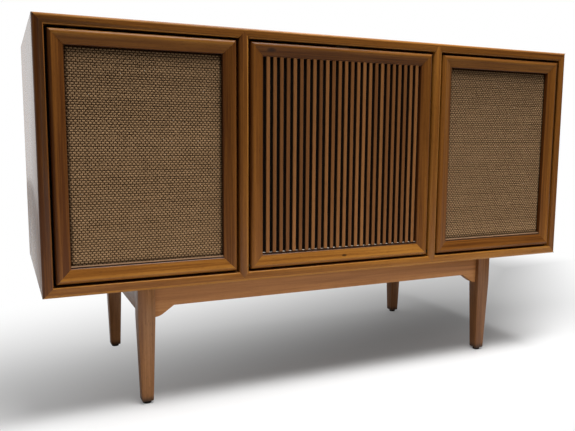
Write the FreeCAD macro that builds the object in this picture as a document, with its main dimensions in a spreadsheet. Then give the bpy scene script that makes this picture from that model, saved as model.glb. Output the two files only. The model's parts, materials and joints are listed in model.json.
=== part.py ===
import FreeCAD, Part
import math
import os
from types import SimpleNamespace

import Sketcher

# A stereo console: a long walnut cabinet on a low leg frame, with a speaker behind a framed
# cloth grille at each end and a slatted drop-front door that closes the bay of the record
# player and the tuner. Millimetres. X runs along the front to the right, Y from the front to
# the back, Z up. The origin is on the floor, under the centre of the cabinet.

# Every size that can be set by itself.
SIZES = {
    # Cabinet and its solid-wood front edging
    "cabinet_width": 1160.0,
    "cabinet_height": 472.0,
    "cabinet_depth": 470.0,
    "leg_height": 231.0,
    "board": 18.0,
    "edging_depth": 14.0,
    "edging_round": 6.0,
    "edging_inner_round": 2.0,
    "divider_offset": 218.0,
    "divider_thickness": 19.0,
    "divider_round": 5.0,
    "point_length": 12.0,
    # Back panel, its vents and its power inlet
    "back_thickness": 5.0,
    "back_inset": 6.0,
    "panel_clearance": 0.5,
    "batten": 15.0,
    "vent_length": 70.0,
    "vent_height": 6.0,
    "vent_pitch": 18.0,
    "vent_count": 6,
    "vent_offset": 90.0,
    "vent_first_rise": 250.0,
    "inlet_width": 30.0,
    "inlet_height": 20.0,
    "inlet_depth": 18.0,
    "inlet_flange": 6.0,
    "inlet_flange_thickness": 3.0,
    "inlet_wall": 3.0,
    "inlet_pin_radius": 1.6,
    "inlet_pin_offset": 6.0,
    "inlet_offset": 120.0,
    "inlet_rise": 60.0,
    # Wood screws of the back panel and the leg frame
    "screw_radius": 2.0,
    "screw_head_radius": 4.0,
    "screw_head_height": 2.4,
    "screw_grip": 11.0,
    "screw_end_distance": 60.0,
    # Leg frame
    "leg_end_inset": 182.0,
    "leg_face_inset": 53.0,
    "leg_top": 32.0,
    "leg_foot": 22.0,
    "leg_square_height": 64.0,
    "glide_radius": 8.0,
    "glide_height": 5.0,
    "apron_thickness": 18.0,
    "apron_setback": 9.0,
    "apron_height": 44.5,
    "bracket_drop": 20.0,
    "bracket_reach": 38.0,
    "bracket_round_reach": 18.0,
    "bracket_round_rise": 6.0,
    "bracket_radius": 30.0,
    "side_apron_height": 60.0,
    "side_apron_setback": 7.0,
    "corner_block_height": 30.0,
    "corner_block_reach": 40.0,
    # Framed panels on the front
    "reveal": 4.5,
    "moulding_width": 25.5,
    "moulding_depth": 19.0,
    "moulding_ridge": 7.0,
    "moulding_round": 4.0,
    "moulding_fall": 5.0,
    "rabbet_width": 8.0,
    "rabbet_depth": 6.0,
    "bead_height": 4.0,
    "bead_depth": 3.5,
    "cloth_gap": 1.5,
    "cloth_proud": 2.5,
    "cloth_flange": 3.0,
    # Speakers
    "baffle_thickness": 12.0,
    "woofer_rise": 125.0,
    "woofer_flange_radius": 102.0,
    "woofer_mouth_radius": 90.0,
    "basket_depth": 62.0,
    "basket_back_radius": 46.0,
    "basket_wall": 3.0,
    "coil_hole_radius": 26.0,
    "magnet_radius": 44.0,
    "magnet_thickness": 24.0,
    "pole_radius": 19.0,
    "coil_clearance": 0.3,
    "surround_width": 10.0,
    "cone_edge_depth": 4.0,
    "cone_depth": 44.0,
    "cone_wall": 1.2,
    "cone_travel": 3.0,
    "tweeter_drop": 80.0,
    "tweeter_flange_radius": 46.0,
    "tweeter_mouth_radius": 30.0,
    "tweeter_body_radius": 34.0,
    "tweeter_depth": 30.0,
    "tweeter_dish": 8.0,
    "hole_clearance": 2.0,
    # Slatted drop-front door
    "slat_count": 25,
    "slat_width": 8.4,
    "slat_end_gap": 6.3,
    "slat_setback": 5.0,
    "bead_setback": 1.0,
    "pivot_setback": 7.5,
    "pivot_rise": 6.0,
    "pin_radius": 2.5,
    "pin_in_door": 20.0,
    "pin_in_divider": 9.0,
    "running_clearance": 0.05,
    "stay_radius": 200.0,
    "stay_width": 12.0,
    "stay_thickness": 3.0,
    "stay_wall_gap": 9.0,
    "stay_tail_angle": 2.5,
    "stay_stop_angle": 1.0,
    "stay_foot_width": 14.0,
    "stay_foot_height": 46.0,
    "stay_foot_thickness": 3.0,
    "stay_pin_radius": 2.5,
    "stay_slack": 0.3,
    "guide_back_angle": 6.0,
    "guide_plate": 2.0,
    "guide_plate_width": 10.0,
    "guide_plate_height": 36.0,
    # Touch latch
    "latch_width": 28.0,
    "latch_height": 20.0,
    "latch_length": 40.0,
    "latch_gap": 4.0,
    "plunger_radius": 4.0,
    "plunger_length": 24.0,
    "plunger_travel": 4.0,
    "strike_thickness": 2.0,
    "strike_width": 30.0,
    "strike_height": 12.0,
    "strike_gap": 0.3,
    # Record player
    "bearer_height": 84.0,
    "bearer_width": 30.0,
    "mount_radius": 9.0,
    "mount_height": 8.0,
    "mount_inset": 15.0,
    "deck_width": 340.0,
    "deck_front": 100.0,
    "deck_depth": 290.0,
    "deck_thickness": 4.0,
    "deck_round": 12.0,
    "spindle_x": -30.0,
    "spindle_from_front": 140.0,
    "spindle_radius": 4.0,
    "record_pin_radius": 3.6,
    "spindle_height": 49.0,
    "spindle_flange_radius": 14.0,
    "spindle_flange_height": 2.0,
    "platter_radius": 130.0,
    "platter_rim": 5.0,
    "platter_height": 14.0,
    "platter_plate": 3.0,
    "platter_hub_radius": 12.0,
    "platter_lift": 0.3,
    "mat_radius": 128.0,
    "mat_thickness": 3.0,
    "idler_radius": 18.0,
    "idler_thickness": 4.0,
    "idler_rise": 5.0,
    "idler_axle_radius": 2.0,
    "idler_axle_height": 11.0,
    "drive_gap": 0.3,
    "pulley_radius": 4.0,
    "pulley_height": 7.0,
    "pulley_rise": 4.0,
    "motor_shaft_radius": 1.5,
    "motor_shaft_length": 36.0,
    "motor_radius": 32.0,
    "motor_height": 50.0,
    "shaft_hole_radius": 5.0,
    "arm_end_inset": 35.0,
    "arm_from_front": 240.0,
    "arm_column_radius": 14.0,
    "arm_column_height": 22.0,
    "arm_shaft_radius": 4.0,
    "arm_shaft_length": 8.0,
    "arm_axis_rise": 35.0,
    "arm_block": 14.0,
    "arm_yoke_gap": 0.3,
    "arm_yoke_wall": 4.0,
    "arm_yoke_depth": 16.0,
    "arm_pin_radius": 1.5,
    "arm_tube_radius": 4.0,
    "arm_length": 205.0,
    "arm_tail": 46.0,
    "counterweight_radius": 11.0,
    "counterweight_length": 26.0,
    "head_width": 18.0,
    "head_length": 32.0,
    "head_thickness": 6.0,
    "cartridge_width": 12.0,
    "cartridge_length": 20.0,
    "cartridge_height": 8.0,
    "stylus_radius": 0.8,
    "stylus_length": 2.0,
    "rest_distance": 150.0,
    "rest_radius": 7.5,
    "rest_gap": 0.3,
    "rest_horn": 2.5,
    "rest_horn_height": 8.0,
    "lever_end_inset": 20.0,
    "lever_from_front": 18.0,
    "lever_hub_radius": 9.0,
    "lever_hub_height": 8.0,
    "lever_shaft_radius": 3.0,
    "lever_length": 28.0,
    "lever_width": 7.0,
    "lever_thickness": 5.0,
    # Tuner
    "tuner_space": 153.0,
    "shelf_thickness": 12.0,
    "shelf_setback": 45.0,
    "shelf_depth": 350.0,
    "shelf_cleat_setback": 40.0,
    "tuner_panel_gap": 8.5,
    "tuner_panel_height": 126.0,
    "tuner_panel_thickness": 6.0,
    "chassis_width": 350.0,
    "chassis_height": 112.0,
    "chassis_depth": 244.0,
    "chassis_wall": 1.5,
    "dial_width": 230.0,
    "dial_height": 36.0,
    "dial_rise": 93.0,
    "dial_lip": 2.0,
    "dial_rebate": 5.0,
    "dial_glass_thickness": 2.2,
    "pointer_width": 2.0,
    "pointer_height": 38.0,
    "pointer_gap": 0.3,
    "knob_shaft_radius": 3.0,
    "knob_shaft_length": 5.0,
    "knob_lift": 0.5,
    "knob_height": 14.0,
    "large_knob_radius": 19.0,
    "small_knob_radius": 14.0,
    "large_knob_offset": 158.0,
    "small_knob_offset": 60.0,
    "small_knob_rise": 36.0,
    "knob_taper": 1.5,
}


class Size:
    """A length with its number and the sheet formula that a feature is bound to."""

    def __init__(self, number, formula):
        self.number = number
        self.formula = formula

    def __add__(self, other):
        other = sized(other)
        return Size(self.number + other.number, f"({self.formula} + {other.formula})")

    def __sub__(self, other):
        other = sized(other)
        return Size(self.number - other.number, f"({self.formula} - {other.formula})")

    def __mul__(self, other):
        other = sized(other)
        return Size(self.number * other.number, f"({self.formula} * {other.formula})")

    def __truediv__(self, other):
        other = sized(other)
        return Size(self.number / other.number, f"({self.formula} / {other.formula})")

    def __radd__(self, other):
        return sized(other) + self

    def __rsub__(self, other):
        return sized(other) - self

    def __rmul__(self, other):
        return sized(other) * self

    def __neg__(self):
        return Size(-self.number, f"(0 - {self.formula})")


def sized(value):
    """The value as a Size, so that plain numbers join in."""
    if isinstance(value, Size):
        return value
    return Size(float(value), f"({float(value)})")


def cosine(angle):
    """The cosine of an angle in degrees that is kept in the sheet."""
    return Size(math.cos(math.radians(angle.number)), f"cos({angle.formula} * 1deg)")


def sine(angle):
    """The sine of an angle in degrees that is kept in the sheet."""
    return Size(math.sin(math.radians(angle.number)), f"sin({angle.formula} * 1deg)")


doc = FreeCAD.newDocument("stereo_console")
sheet = doc.addObject("Spreadsheet::Sheet", "sizes")
for row, (name, value) in enumerate(SIZES.items(), start=1):
    sheet.set(f"A{row}", name)
    sheet.set(f"B{row}", str(value))
    sheet.setAlias(f"B{row}", name)
doc.recompute()
s = SimpleNamespace(**{name: Size(float(sheet.get(name)), f"sizes.{name}") for name in SIZES})

pieces = []
pockets = []


# Builders shared by the sub-parts

# How a feature made along Z is turned to lie along another direction.
TURNS = {
    "x": ((0, 1, 0), 90.0),
    "-x": ((0, 1, 0), -90.0),
    "y": ((1, 0, 0), -90.0),
    "-y": ((1, 0, 0), 90.0),
    "z": ((0, 0, 1), 0.0),
}


def keep(label, item):
    """Name a finished sub-part and list it for export."""
    item.Label = label
    pieces.append(item)
    return item


def bind(item, prop, value):
    """Tie a property to the sheet, or set it where it is a plain number."""
    if isinstance(value, Size):
        item.setExpression(prop, value.formula)
    else:
        setattr(item, prop, value)


def place(item, spot, axis=(0, 0, 1), angle=0.0):
    """Give the item its Placement, with its place tied to the sheet."""
    base = FreeCAD.Vector(*[sized(value).number for value in spot])
    item.Placement = FreeCAD.Placement(base, FreeCAD.Rotation(FreeCAD.Vector(*axis), angle))
    for letter, value in zip("xyz", spot):
        if isinstance(value, Size):
            item.setExpression(f"Placement.Base.{letter}", value.formula)
    return item


def box(low, high):
    """A block between two corners."""
    item = doc.addObject("Part::Box", "block")
    for prop, start, stop in zip(("Length", "Width", "Height"), low, high):
        bind(item, prop, stop - start)
    return place(item, low)


def rod(radius, spot, along, length):
    """A round bar from a point, along an axis."""
    item = doc.addObject("Part::Cylinder", "rod")
    bind(item, "Radius", radius)
    bind(item, "Height", length)
    return place(item, spot, *TURNS[along])


def group(items):
    """Several separate solids as one sub-part."""
    item = doc.addObject("Part::Compound", "group")
    item.Links = list(items)
    return item


def fuse(*items):
    """One solid out of overlapping ones."""
    item = doc.addObject("Part::MultiFuse", "fused")
    item.Shapes = list(items)
    item.Refine = True
    return item


def cut(base, *tools):
    """The base with the tools taken out of it."""
    item = doc.addObject("Part::Cut", "cut")
    item.Base = base
    item.Tool = tools[0] if len(tools) == 1 else group(tools)
    return item


def add_outline(sketch, corners):
    """Draw one closed outline. A corner is (u, v), or (u, v, radius, turn) before an arc."""
    rules = []
    formulas = []

    def rule(formula, *terms):
        if formula is not None:
            formulas.append((len(rules), formula))
        rules.append(Sketcher.Constraint(*terms))

    spots = [FreeCAD.Vector(sized(corner[0]).number, sized(corner[1]).number, 0) for corner in corners]
    ends = []
    for index, corner in enumerate(corners):
        start = spots[index]
        stop = spots[(index + 1) % len(corners)]
        if len(corner) == 2:
            edge = sketch.addGeometry(Part.LineSegment(start, stop), False)
            ends.append(((edge, 1), (edge, 2)))
            continue
        radius, turn = corner[2], corner[3]
        chord = stop - start
        height = math.sqrt(max(radius.number**2 - chord.Length**2 / 4, 0.0))
        side = FreeCAD.Vector(-chord.y, chord.x, 0).normalize() * (height * turn)
        centre = (start + stop) * 0.5 + side
        first, last = (start, stop) if turn > 0 else (stop, start)
        angles = [math.atan2((end - centre).y, (end - centre).x) for end in (first, last)]
        circle = Part.Circle(centre, FreeCAD.Vector(0, 0, 1), radius.number)
        edge = sketch.addGeometry(Part.ArcOfCircle(circle, *angles), False)
        ends.append(((edge, 1), (edge, 2)) if turn > 0 else ((edge, 2), (edge, 1)))
        rule(radius.formula, "Radius", edge, radius.number)
    for index, corner in enumerate(corners):
        start = ends[index][0]
        rule(None, "Coincident", *ends[index - 1][1], *start)
        for kind, axis, value in zip(("DistanceX", "DistanceY"), (-2, -1), corner):
            if isinstance(value, Size):
                rule(value.formula, kind, -1, 1, *start, value.number)
            else:
                rule(None, "PointOnObject", *start, axis)
    first = sketch.ConstraintCount
    sketch.addConstraint(rules)
    for index, formula in formulas:
        sketch.setExpression(f"Constraints[{first + index}]", formula)


def add_sketch(body, plane, outlines):
    """A sketch on one of the body's own origin planes."""
    sketch = body.newObject("Sketcher::SketchObject", "outline")
    support = [item for item in body.Origin.OriginFeatures if item.Role == f"{plane}_Plane"]
    sketch.AttachmentSupport = (support[0], [""])
    sketch.MapMode = "FlatFace"
    for corners in outlines:
        add_outline(sketch, corners)
    return sketch


def add_pad(body, plane, outlines, length, side="One side"):
    """Raise a sketch, towards the back, the right or the top."""
    feature = body.newObject("PartDesign::Pad", "pad")
    feature.Profile = add_sketch(body, plane, outlines)
    feature.SideType = side
    bind(feature, "Length", length)
    feature.Reversed = plane == "XZ"
    return feature


def add_pocket(body, plane, outlines, pad):
    """Cut outlines right through the body, both ways from the plane."""
    feature = body.newObject("PartDesign::Pocket", "pocket")
    feature.Profile = add_sketch(body, plane, outlines)
    feature.Type = "ThroughAll"
    feature.SideType = "Symmetric"
    pockets.append((pad, feature))
    return feature


def raised(plane, corners, start, length):
    """A board whose outline lies in a plane, from a start along the plane's normal."""
    body = doc.addObject("PartDesign::Body", "board")
    add_pad(body, plane, [corners], length)
    spots = {"XZ": (0, start, 0), "YZ": (start, 0, 0), "XY": (0, 0, start)}
    return place(body, spots[plane])


def turned(corners, spot, along="z"):
    """A round piece, from its half section as (radius, height) corners."""
    body = doc.addObject("PartDesign::Body", "turning")
    profile = add_sketch(body, "XZ", [corners])
    feature = body.newObject("PartDesign::Revolution", "turn")
    feature.Profile = profile
    feature.ReferenceAxis = (profile, ["V_Axis"])
    feature.Angle = 360.0
    return place(body, spot, *TURNS[along])


def bar(profile, length, cuts, spot, angle):
    """A length of moulding. Its profile has (depth, inward) corners, its cuts (along, inward)."""
    body = doc.addObject("PartDesign::Body", "bar")
    pad = add_pad(body, "YZ", [profile], length, "Symmetric")
    add_pocket(body, "XZ", cuts, pad)
    return place(body, spot, (0, 1, 0), angle)


def mitres(length, width):
    """The two corners to cut off a bar, so that its ends are mitred."""
    end = length / 2
    spare = width / 2
    right = [(end + spare, -spare), (end + spare, width + spare), (end - width - spare, width + spare)]
    left = [(-u, v) for u, v in reversed(right)]
    return [left, right]


def mitred_frame(profile, width, x_low, x_high, z_low, z_high, rail_cuts=()):
    """Four mitred bars round a rectangle, with their outer edges on it."""
    wide = x_high - x_low
    tall = z_high - z_low
    x_middle = (x_low + x_high) / 2
    z_middle = (z_low + z_high) / 2
    rails = mitres(wide, width) + list(rail_cuts)
    stiles = mitres(tall, width)
    return [
        bar(profile, wide, rails, (x_middle, front, z_low), 0.0),
        bar(profile, wide, rails, (x_middle, front, z_high), 180.0),
        bar(profile, tall, stiles, (x_low, front, z_middle), 90.0),
        bar(profile, tall, stiles, (x_high, front, z_middle), -90.0),
    ]


# Planes and lines that several sub-parts share

half_width = s.cabinet_width / 2
front = -s.cabinet_depth / 2
back = s.cabinet_depth / 2
under = s.leg_height
top = s.leg_height + s.cabinet_height
bay_floor = under + s.board
ceiling = top - s.board
side_inner = half_width - s.board
divider_inner = s.divider_offset - s.divider_thickness / 2
divider_outer = s.divider_offset + s.divider_thickness / 2
back_outside = back - s.back_inset
back_inside = back_outside - s.back_thickness
leg_x = half_width - s.leg_end_inset
leg_y = back - s.leg_face_inset

panel_low = bay_floor + s.reveal
panel_high = ceiling - s.reveal
door_half = divider_inner - s.reveal
grille_near = divider_outer + s.reveal
grille_far = side_inner - s.reveal
rabbet_face = front + s.moulding_depth - s.rabbet_depth
frame_back = front + s.moulding_depth
baffle_back = frame_back + s.baffle_thickness
opening_low = panel_low + s.moulding_width
opening_high = panel_high - s.moulding_width
opening_half = door_half - s.moulding_width

pivot_y = front + s.pivot_setback
pivot_z = panel_low + s.pivot_rise

shelf_top = ceiling - s.tuner_space
shelf_low = shelf_top - s.shelf_thickness
tuner_front = front + s.shelf_setback
tuner_panel_back = tuner_front + s.tuner_panel_thickness

deck_front = front + s.deck_front
deck_back = deck_front + s.deck_depth
bearer_top = bay_floor + s.bearer_height
deck_low = bearer_top + s.mount_height
deck_top = deck_low + s.deck_thickness
spindle_y = deck_front + s.spindle_from_front
arm_y = deck_front + s.arm_from_front
arm_z = deck_top + s.arm_axis_rise
arm_x = s.deck_width / 2 - s.arm_end_inset
lever_x = s.lever_end_inset - s.deck_width / 2
lever_y = deck_front + s.lever_from_front

SIDES = {"left": -1, "right": 1}


def span(side, near, far):
    """A low and a high x on one side of the cabinet, from distances to the centre."""
    return (near, far) if side > 0 else (-far, -near)


# Wood screws: the shanks also drill what they hold

back_screw_z = (bay_floor + s.batten / 2, ceiling - s.batten / 2)
back_screw_x = [
    sign * (edge + way * s.screw_end_distance)
    for sign in SIDES.values()
    for edge, way in ((side_inner, -1), (divider_outer, 1), (divider_inner, -1))
]
corner_block_side = leg_x + s.leg_top / 2 - s.side_apron_setback - s.apron_thickness
corner_block_front = leg_y + s.leg_top / 2 - s.apron_setback - s.apron_thickness
leg_inner_x = leg_x - s.leg_top / 2
leg_inner_y = leg_y - s.leg_top / 2
block_screw_x = leg_inner_x - s.corner_block_reach / 4
block_screw_y = leg_inner_y - s.corner_block_reach / 4
block_low = under - s.corner_block_height
CORNERS = [(x, y) for x in (-1, 1) for y in (-1, 1)]

back_shank = s.back_thickness + s.screw_grip
block_shank = s.corner_block_height + s.screw_grip
back_spots = [(x, back_inside - s.screw_grip, z) for x in back_screw_x for z in back_screw_z]
block_spots = [(x * block_screw_x, y * block_screw_y, block_low) for x, y in CORNERS]
back_shanks = [rod(s.screw_radius, spot, "y", back_shank) for spot in back_spots]
block_shanks = [rod(s.screw_radius, spot, "z", block_shank) for spot in block_spots]


def wood_screws():
    screws = []
    for shank, (x, _, z) in zip(back_shanks, back_spots):
        head = rod(s.screw_head_radius, (x, back_outside, z), "y", s.screw_head_height)
        screws.append(fuse(shank, head))
    for shank, (x, y, z) in zip(block_shanks, block_spots):
        head_spot = (x, y, z - s.screw_head_height)
        head = rod(s.screw_head_radius, head_spot, "z", s.screw_head_height)
        screws.append(fuse(shank, head))
    keep("wood_screws", group(screws))


# Cabinet

def cabinet_panels():
    panel_front = front + s.edging_depth
    depth = s.cabinet_depth - s.edging_depth
    top_outline = [(-half_width, top), (-side_inner, ceiling), (side_inner, ceiling), (half_width, top)]
    bottom_outline = [
        (-half_width, under),
        (half_width, under),
        (side_inner, bay_floor),
        (-side_inner, bay_floor),
    ]
    keep("top_panel", raised("XZ", top_outline, panel_front, depth))
    bottom = raised("XZ", bottom_outline, panel_front, depth)
    keep("bottom_panel", cut(bottom, *block_shanks))
    for name, sign in SIDES.items():
        outer = sign * half_width
        inner = sign * side_inner
        outline = [(outer, under), (inner, bay_floor), (inner, ceiling), (outer, top)]
        keep(f"{name}_side_panel", raised("XZ", outline, panel_front, depth))
        x_low, x_high = span(sign, divider_inner, divider_outer)
        divider = box((x_low, panel_front, bay_floor), (x_high, back_inside, ceiling))
        keep(f"{name}_divider", divider)


def notch(x):
    """The pointed notch in a rail of the edging where a divider's edging runs into it."""
    half = s.divider_thickness / 2
    tip = s.board - s.point_length
    return [(x, tip), (x + half * 2, tip + s.point_length * 2), (x - half * 2, tip + s.point_length * 2)]


def face_edging():
    depth = s.edging_depth
    outer = s.edging_round
    inner = s.edging_inner_round
    profile = [
        (depth, 0),
        (outer, 0, outer, -1),
        (0, outer),
        (0, s.board - inner, inner, -1),
        (inner, s.board),
        (depth, s.board),
    ]
    notches = [notch(sign * s.divider_offset) for sign in SIDES.values()]
    bars = mitred_frame(profile, s.board, -half_width, half_width, under, top, notches)
    keep("face_edging", group(bars))


def divider_edging():
    half = s.divider_thickness / 2
    depth = s.edging_depth
    curve = s.divider_round
    profile = [
        (depth, -half),
        (curve, -half, curve, -1),
        (0, curve - half),
        (0, half - curve, curve, -1),
        (curve, half),
        (depth, half),
    ]
    length = ceiling - bay_floor + s.point_length * 2
    end = length / 2
    past = end + s.point_length
    shoulder = end - s.point_length * 2
    right = [
        (past, -half * 2),
        (past, half * 2),
        (shoulder, half * 2),
        (end, 0),
        (shoulder, -half * 2),
    ]
    left = [(-u, v) for u, v in reversed(right)]
    middle = (bay_floor + ceiling) / 2
    edgings = []
    for sign in SIDES.values():
        edging = bar(profile, length, [left, right], (sign * s.divider_offset, front, middle), 90.0)
        start = divider_inner if sign > 0 else -divider_inner - s.pin_in_divider
        socket = rod(pin_bore, (start, pivot_y, pivot_z), "x", s.pin_in_divider)
        edgings.append(cut(edging, socket))
    keep("divider_edging", group(edgings))


def inlet_box(grow, y_low, y_high):
    """A block round the centre of the power inlet, grown by an amount all round."""
    half = s.inlet_width / 2 + grow
    tall = s.inlet_height / 2 + grow
    z = bay_floor + s.inlet_rise
    return box((s.inlet_offset - half, y_low, z - tall), (s.inlet_offset + half, y_high, z + tall))


def back_panel():
    gap = s.panel_clearance
    low = (gap - side_inner, back_inside, bay_floor + gap)
    high = (side_inner - gap, back_outside, ceiling - gap)
    vents = []
    for sign in SIDES.values():
        middle = sign * s.vent_offset
        for index in range(int(s.vent_count.number)):
            z = bay_floor + s.vent_first_rise + s.vent_pitch * index
            vent_low = (middle - s.vent_length / 2, back_inside, z)
            vent_high = (middle + s.vent_length / 2, back_outside, z + s.vent_height)
            vents.append(box(vent_low, vent_high))
    hole = inlet_box(s.running_clearance, back_inside, back_outside)
    keep("back_panel", cut(box(low, high), hole, *vents, *back_shanks))


def cord_inlet():
    body_front = back_outside - s.inlet_depth
    flange_back = back_outside + s.inlet_flange_thickness
    floor_y = body_front + s.inlet_wall
    shell = fuse(
        inlet_box(0.0, body_front, back_outside),
        inlet_box(s.inlet_flange, back_outside, flange_back),
    )
    recess = inlet_box(-s.inlet_wall, floor_y, flange_back)
    z = bay_floor + s.inlet_rise
    pin_spots = [(s.inlet_offset + sign * s.inlet_pin_offset, body_front, z) for sign in SIDES.values()]
    pins = [rod(s.inlet_pin_radius, spot, "y", s.inlet_depth) for spot in pin_spots]
    keep("cord_inlet", fuse(cut(shell, recess), *pins))


def inner_battens():
    back_low = back_inside - s.batten
    battens = []
    bays = [(-divider_inner, divider_inner)]
    bays += [span(sign, divider_outer, side_inner) for sign in SIDES.values()]
    for x_low, x_high in bays:
        battens.append(box((x_low, back_low, bay_floor), (x_high, back_inside, bay_floor + s.batten)))
        battens.append(box((x_low, back_low, ceiling - s.batten), (x_high, back_inside, ceiling)))
    for sign in SIDES.values():
        x_low, x_high = span(sign, side_inner - s.batten, side_inner)
        z_low = bay_floor + s.batten
        battens.append(box((x_low, back_low, z_low), (x_high, back_inside, ceiling - s.batten)))
        for near, far in ((divider_outer, divider_outer + s.batten), (side_inner - s.batten, side_inner)):
            x_low, x_high = span(sign, near, far)
            baffle_cleat_back = baffle_back + s.batten
            battens.append(box((x_low, baffle_back, bay_floor), (x_high, baffle_cleat_back, ceiling)))
        x_low, x_high = span(sign, divider_inner - s.batten, divider_inner)
        cleat_front = tuner_front + s.shelf_cleat_setback
        cleat_back = tuner_front + s.shelf_depth
        battens.append(box((x_low, cleat_front, shelf_low - s.batten), (x_high, cleat_back, shelf_low)))
    keep("inner_battens", cut(group(battens), *back_shanks))


# Leg frame

def legs():
    square_low = under - s.leg_square_height
    half_top = s.leg_top / 2
    half_foot = s.leg_foot / 2
    all_legs = []
    glides = []
    for x_sign, y_sign in CORNERS:
        x = x_sign * leg_x
        y = y_sign * leg_y
        square = box((x - half_top, y - half_top, square_low), (x + half_top, y + half_top, under))
        taper = doc.addObject("Part::Wedge", "taper")
        for axis in "XZ":
            bind(taper, f"{axis}min", -half_foot)
            bind(taper, f"{axis}max", half_foot)
            bind(taper, f"{axis}2min", -half_top)
            bind(taper, f"{axis}2max", half_top)
        taper.Ymin = 0.0
        bind(taper, "Ymax", square_low - s.glide_height)
        place(taper, (x, y, s.glide_height), (1, 0, 0), 90.0)
        all_legs.append(fuse(square, taper))
        glides.append(rod(s.glide_radius, (x, y, 0.0), "z", s.glide_height))
    keep("legs", group(all_legs))
    keep("foot_glides", group(glides))


def aprons():
    middle = under - s.apron_height
    low = middle - s.bracket_drop
    curve_end = leg_inner_x - s.bracket_round_reach
    straight_end = leg_inner_x - s.bracket_reach
    curve_top = low + s.bracket_round_rise
    outline = [
        (-leg_inner_x, under),
        (-leg_inner_x, low, s.bracket_radius, 1),
        (-curve_end, curve_top),
        (-straight_end, middle),
        (straight_end, middle),
        (curve_end, curve_top, s.bracket_radius, 1),
        (leg_inner_x, low),
        (leg_inner_x, under),
    ]
    outer_y = leg_y + s.leg_top / 2 - s.apron_setback
    keep("front_apron", raised("XZ", outline, -outer_y, s.apron_thickness))
    keep("back_apron", raised("XZ", outline, outer_y - s.apron_thickness, s.apron_thickness))
    outer_x = leg_x + s.leg_top / 2 - s.side_apron_setback
    side_low = under - s.side_apron_height
    for name, sign in SIDES.items():
        x_low, x_high = span(sign, outer_x - s.apron_thickness, outer_x)
        keep(f"{name}_apron", box((x_low, -leg_inner_y, side_low), (x_high, leg_inner_y, under)))


def corner_blocks():
    blocks = []
    for x_sign, y_sign in CORNERS:
        outline = [
            (corner_block_side, leg_inner_y),
            (corner_block_side, leg_inner_y - s.corner_block_reach),
            (leg_inner_x - s.corner_block_reach, corner_block_front),
            (leg_inner_x, corner_block_front),
            (leg_inner_x, leg_inner_y),
        ]
        corner = [(x_sign * x, y_sign * y) for x, y in outline]
        blocks.append(raised("XY", corner, block_low, s.corner_block_height))
    keep("corner_blocks", cut(group(blocks), *block_shanks))


# Framed panels

# The slope is a cove, and its hollow runs out parallel to the front at the opening.
cove_run = s.moulding_width - s.moulding_ridge
cove_radius = (cove_run * cove_run + s.moulding_fall * s.moulding_fall) / (s.moulding_fall * 2)
moulding_profile = [
    (s.moulding_depth, 0),
    (s.moulding_round, 0, s.moulding_round, -1),
    (0, s.moulding_round),
    (0, s.moulding_ridge, cove_radius, 1),
    (s.moulding_fall, s.moulding_width),
    (s.moulding_depth - s.rabbet_depth, s.moulding_width),
    (s.moulding_depth - s.rabbet_depth, s.moulding_width - s.rabbet_width),
    (s.moulding_depth, s.moulding_width - s.rabbet_width),
]


def panel_frame(x_low, x_high, bead_front, bead_back):
    """The mitred moulding of a panel and the bead along the foot of its opening."""
    bars = mitred_frame(moulding_profile, s.moulding_width, x_low, x_high, panel_low, panel_high)
    bead_low = (x_low + s.moulding_width, bead_front, opening_low)
    bead_high = (x_high - s.moulding_width, bead_back, opening_low + s.bead_height)
    return bars + [box(bead_low, bead_high)]


def grilles():
    cloth_front = rabbet_face - s.cloth_proud
    lap = s.rabbet_width - s.panel_clearance
    for name, sign in SIDES.items():
        x_low, x_high = span(sign, grille_near, grille_far)
        frame = panel_frame(x_low, x_high, cloth_front - s.bead_depth, cloth_front)
        keep(f"{name}_grille_frame", group(frame))
        left = x_low + s.moulding_width
        right = x_high - s.moulding_width
        gap = s.cloth_gap
        field = box(
            (left + gap, cloth_front, opening_low + gap),
            (right - gap, rabbet_face, opening_high - gap),
        )
        flange = box(
            (left - lap, rabbet_face, opening_low - lap),
            (right + lap, rabbet_face + s.cloth_flange, opening_high + lap),
        )
        keep(f"{name}_grille_cloth", fuse(field, flange))


# Speakers

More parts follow.
